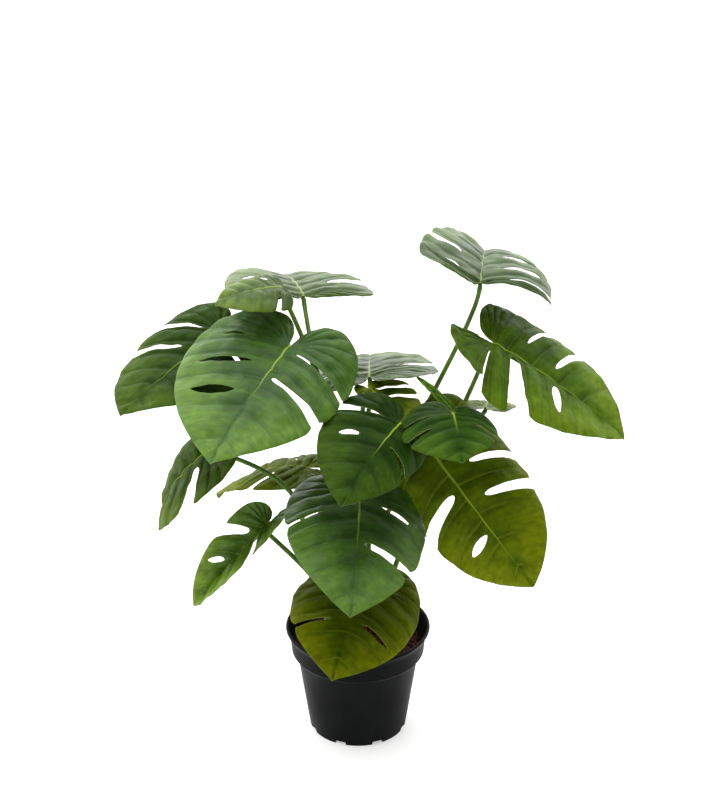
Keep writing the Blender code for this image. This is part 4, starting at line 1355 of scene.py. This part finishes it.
def studio_world(settings):
    """A white light tent: bright behind and above, dim in front, dark below."""
    world, add = new_tree(bpy.data.worlds, "light_tent")
    way = add("TexCoord", output="Generated")
    # brightest high behind the plant and a little to its left
    inputs = (way, Vector((-0.25, 0.75, 0.61)).normalized())
    facing = add("VectorMath", inputs, "Value", operation="DOT_PRODUCT")
    inputs = (facing, -0.3, 0.95, settings.low_strength, settings.sky_strength)
    strength = add("MapRange", inputs, **SMOOTH)
    height = add("SeparateXYZ", (way,), output="Z")
    above = add("MapRange", (height, -0.12, 0.04), **SMOOTH)
    strength = add("Math", (strength, above), operation="MULTIPLY")
    back = add("Background", (WHITE, strength))
    add("OutputWorld", (back,))
    return world


# Settings


def amount(name, description, default, low=0.0, **more):
    return FloatProperty(
        name=name, description=description, default=default, min=low, **more
    )


def extent(name, description, millimetres):
    return amount(name, description, millimetres * MM, unit="LENGTH", precision=4)


def shine(name, about, default):
    about += ", 0.5 for a full one"
    return amount(name, about, default, max=1.0, subtype="FACTOR")


def tint(name, description, code):
    return FloatVectorProperty(
        name=name,
        description=description,
        default=linear(code),
        subtype="COLOR",
        size=4,
        min=0.0,
        max=1.0,
    )


class MONSTERA_PG_leaves(bpy.types.PropertyGroup):
    mesh_step: extent("Mesh step", "Distance between the points of a blade", 1.5)
    thickness: extent("Thickness", "Thickness of a blade away from its edge", 0.8)
    relief: extent("Relief", "How far a blade swells between its side veins", 1.7)
    crease: extent("Crease", "Depth of the creases along the side veins", 0.9)
    wave: extent("Wave", "Height of the slow waves towards the margin", 3.0)
    dent: extent("Dent", "Height of the fine dents all over a blade", 0.55)
    midrib_width: extent("Midrib width", "Width of the yellow midrib at the stem", 2.3)
    midrib_share: amount(
        "Midrib reach", "Share of the blade with a yellow midrib", 0.62, 0.1
    )
    waxy_gloss: shine("Waxy gloss", "Reflection of the newly waxed leaves", 0.45)
    satin_gloss: shine("Satin gloss", "Reflection of most grown leaves", 0.27)
    matt_gloss: shine("Matt gloss", "Reflection of young and inner leaves", 0.03)
    # the deep colours stand for painted shade in the creases and towards the stem;
    # light and band, paler, for a painted highlight on the swells and a painted sheen
    # towards the margin and tip
    grown_deep: tint("Grown, deep", "Green in the creases of a grown leaf", "#25450c")
    grown_light: tint("Grown, light", "Green of a grown leaf", "#436618")
    # a grown leaf's vein colour is darker: painted shade in the creases along the side
    # veins
    grown_vein: tint("Grown, vein", "Side veins of a grown leaf", "#3d5c1c")
    grown_band: tint("Grown, band", "Paler green out to the margin", "#54761f")
    young_deep: tint("Young, deep", "Olive in the creases of a young leaf", "#3c4a02")
    young_light: tint("Young, light", "Olive of a young leaf", "#5c6a02")
    young_vein: tint("Young, vein", "Side veins of a young leaf", "#838a1c")
    young_band: tint("Young, band", "Paler olive out to the margin", "#788004")
    midrib: tint("Midrib", "Yellow-green of the midrib", "#86a030")
    under_deep: tint("Under side, deep", "Darker patches underneath", "#4f6a34")
    under_light: tint("Under side, light", "Lighter patches underneath", "#6f8a4c")
    under_young: tint("Under side, young", "Under side of a young leaf", "#6c7a1c")
    under_vein: tint("Under side veins", "Pale veins underneath", "#8ca35c")
    edge_deep: tint("Edge, deep", "Darker parts of the margin", "#4c6a20")
    edge_light: tint("Edge, light", "Paler parts of the margin", "#8a9c4a")


class MONSTERA_PG_stems(bpy.types.PropertyGroup):
    foot_radius: extent("Foot radius", "Radius of a stalk at the soil", 2.6)
    top_radius: extent("Top radius", "Radius of a stalk under its blade", 2.1)
    stalk_deep: tint("Stalk, deep", "Darker streaks of the stalks", "#35540f")
    stalk_light: tint("Stalk, light", "Lighter streaks of the stalks", "#5c7f22")
    sheath: tint("Sheath", "Reddish foot of the stalks", "#7c4238")


class MONSTERA_PG_pot(bpy.types.PropertyGroup):
    sides: IntProperty(
        name="Sides", description="Number of steps round the pot", default=192, min=24
    )
    rib_count: IntProperty(
        name="Ribs", description="Number of ribs inside the collar", default=48, min=0
    )
    rib_height: extent("Rib height", "How far each inner rib stands out", 0.6)
    plastic: tint("Plastic", "Black of the pot", "#111312")
    dust: tint("Dust", "Grey of the dust on the pot", "#1e201f")


class MONSTERA_PG_soil(bpy.types.PropertyGroup):
    mesh_step: extent("Mesh step", "Distance between the points of the top", 1.2)
    crumbs: IntProperty(
        name="Crumbs", description="Number of loose crumbs", default=900, min=0
    )
    soil_deep: tint("Soil, deep", "Darkest grains of the soil", "#1a0c08")
    soil_light: tint("Soil, light", "Lightest grains of the soil", "#5a3226")
    bit_deep: tint("Bits, deep", "Darker side of the bark bits", "#5a2a1c")
    bit_light: tint("Bits, light", "Lighter side of the bark bits", "#a8705a")


class MONSTERA_PG_stage(bpy.types.PropertyGroup):
    camera_place: FloatVectorProperty(
        name="Camera place",
        description="Where the camera stands",
        default=(0.0055, -1.613, 1.088),
        subtype="TRANSLATION",
    )
    camera_pitch: FloatProperty(
        name="Camera pitch",
        description="How far the camera looks down",
        default=math.radians(24.6),
        subtype="ANGLE",
        unit="ROTATION",
    )
    lens: amount("Lens", "Focal length in mm on a 36 mm tall film", 86.6, 10.0)
    floor: tint("Floor", "Paper that the pot stands on", "#dadada")
    floor_glow: amount("Floor glow", "Light from below the paper", 0.45)
    floor_bounce: BoolProperty(
        name="Floor bounce", description="If the paper lights the plant", default=True
    )
    sky_strength: amount("Sky strength", "Strength of the tent behind", 2.9)
    low_strength: amount("Low strength", "Strength of the tent in front", 0.2)
    key_strength: amount("Key strength", "Strength of the light above", 0.5)


# Operators

FLOOR_REACH = 24.0  # metres from the pot, so that the floor's end is below the horizon


class MONSTERA_OT_pot(bpy.types.Operator):
    """Makes the black nursery pot"""

    bl_idname = "monstera.pot"
    bl_label = "Pot"

    def execute(self, context):
        settings = context.scene.monstera_pot
        make_pot(settings, pot_material(settings))
        return {"FINISHED"}


class MONSTERA_OT_soil(bpy.types.Operator):
    """Makes the potting soil with its crumbs"""

    bl_idname = "monstera.soil"
    bl_label = "Soil"

    def execute(self, context):
        made = context.scene.monstera_soil
        # grains of about 1.4 mm, and bark bits mottled at 3 mm
        soil = soil_material("damp_peat_soil", made.soil_deep, made.soil_light, 700.0)
        bits = soil_material("bark_bits", made.bit_deep, made.bit_light, 350.0)
        make_soil(made, (soil, bits))
        return {"FINISHED"}


class MONSTERA_OT_stems(bpy.types.Operator):
    """Makes the eighteen leaf stalks with their ribs"""

    bl_idname = "monstera.stems"
    bl_label = "Stems"

    def execute(self, context):
        settings = context.scene.monstera_stems
        material = stem_material(settings)
        for leaf in LEAVES:
            make_stem(leaf, settings, material)
        return {"FINISHED"}


class MONSTERA_OT_leaves(bpy.types.Operator):
    """Makes the eighteen cut leaves"""

    bl_idname = "monstera.leaves"
    bl_label = "Leaves"

    def execute(self, context):
        settings = context.scene.monstera_leaves
        tops = {
            skin: leaf_top_material(skin + "_leaf", level, settings)
            for skin, level in (
                ("waxy", settings.waxy_gloss),
                ("satin", settings.satin_gloss),
                ("matt", settings.matt_gloss),
            )
        }
        under = leaf_under_material(settings)
        edge = leaf_edge_material(settings)
        for leaf in LEAVES:
            make_leaf(leaf, settings, (tops[leaf["skin"]], under, edge))
        return {"FINISHED"}


class MONSTERA_OT_stage(bpy.types.Operator):
    """Makes the paper floor, the studio light and the camera"""

    bl_idname = "monstera.stage"
    bl_label = "Stage"

    def execute(self, context):
        scene = context.scene
        settings = scene.monstera_stage
        shape = bmesh.new()
        bmesh.ops.create_grid(shape, x_segments=8, y_segments=8, size=FLOOR_REACH)
        mesh = bpy.data.meshes.new("paper_floor")
        shape.to_mesh(mesh)
        shape.free()
        mesh.materials.append(paper_material(settings.floor, settings.floor_glow))
        floor = helper_object("paper_floor", mesh)
        floor.visible_diffuse = settings.floor_bounce
        scene.world = studio_world(settings)
        scene.view_settings.view_transform = "Standard"
        scene.view_settings.look = "None"
        lamp = bpy.data.lights.new("soft_light_above", "SUN")
        lamp.energy = settings.key_strength
        lamp.angle = math.radians(50)
        key = helper_object("soft_light_above", lamp)
        key.location = (0.0, 0.0, 2.0)
        shines = Vector((0.45, 0.35, -1.0))
        key.rotation_euler = shines.to_track_quat("-Z", "Y").to_euler()
        film = bpy.data.cameras.new("camera")
        film.lens = settings.lens
        film.sensor_width = 36.0
        film.sensor_height = 36.0
        film.sensor_fit = "VERTICAL"
        camera = helper_object("camera", film)
        camera.location = settings.camera_place
        camera.rotation_euler = (math.radians(90) - settings.camera_pitch, 0.0, 0.0)
        scene.camera = camera
        return {"FINISHED"}


PARTS = (
    ("monstera_leaves", MONSTERA_PG_leaves, MONSTERA_OT_leaves),
    ("monstera_stems", MONSTERA_PG_stems, MONSTERA_OT_stems),
    ("monstera_pot", MONSTERA_PG_pot, MONSTERA_OT_pot),
    ("monstera_soil", MONSTERA_PG_soil, MONSTERA_OT_soil),
    ("monstera_stage", MONSTERA_PG_stage, MONSTERA_OT_stage),
)


class MONSTERA_PT_panel(bpy.types.Panel):
    """Lists the pieces and their settings"""

    bl_idname = "MONSTERA_PT_panel"
    bl_label = "Potted Monstera"
    bl_space_type = "VIEW_3D"
    bl_region_type = "UI"
    bl_category = "Monstera"

    def draw(self, context):
        for name, group, operator in PARTS:
            box = self.layout.box()
            box.operator(operator.bl_idname)
            for key in group.__annotations__:
                box.prop(getattr(context.scene, name), key)


def register():
    for name, group, operator in PARTS:
        bpy.utils.register_class(group)
        bpy.utils.register_class(operator)
        setattr(bpy.types.Scene, name, PointerProperty(type=group))
    bpy.utils.register_class(MONSTERA_PT_panel)


def unregister():
    bpy.utils.unregister_class(MONSTERA_PT_panel)
    for name, group, operator in reversed(PARTS):
        delattr(bpy.types.Scene, name)
        bpy.utils.unregister_class(operator)
        bpy.utils.unregister_class(group)


def main():
    register()
    bpy.ops.monstera.pot()
    bpy.ops.monstera.soil()
    bpy.ops.monstera.stems()
    bpy.ops.monstera.leaves()
    bpy.ops.monstera.stage()


if __name__ == "__main__":
    main()
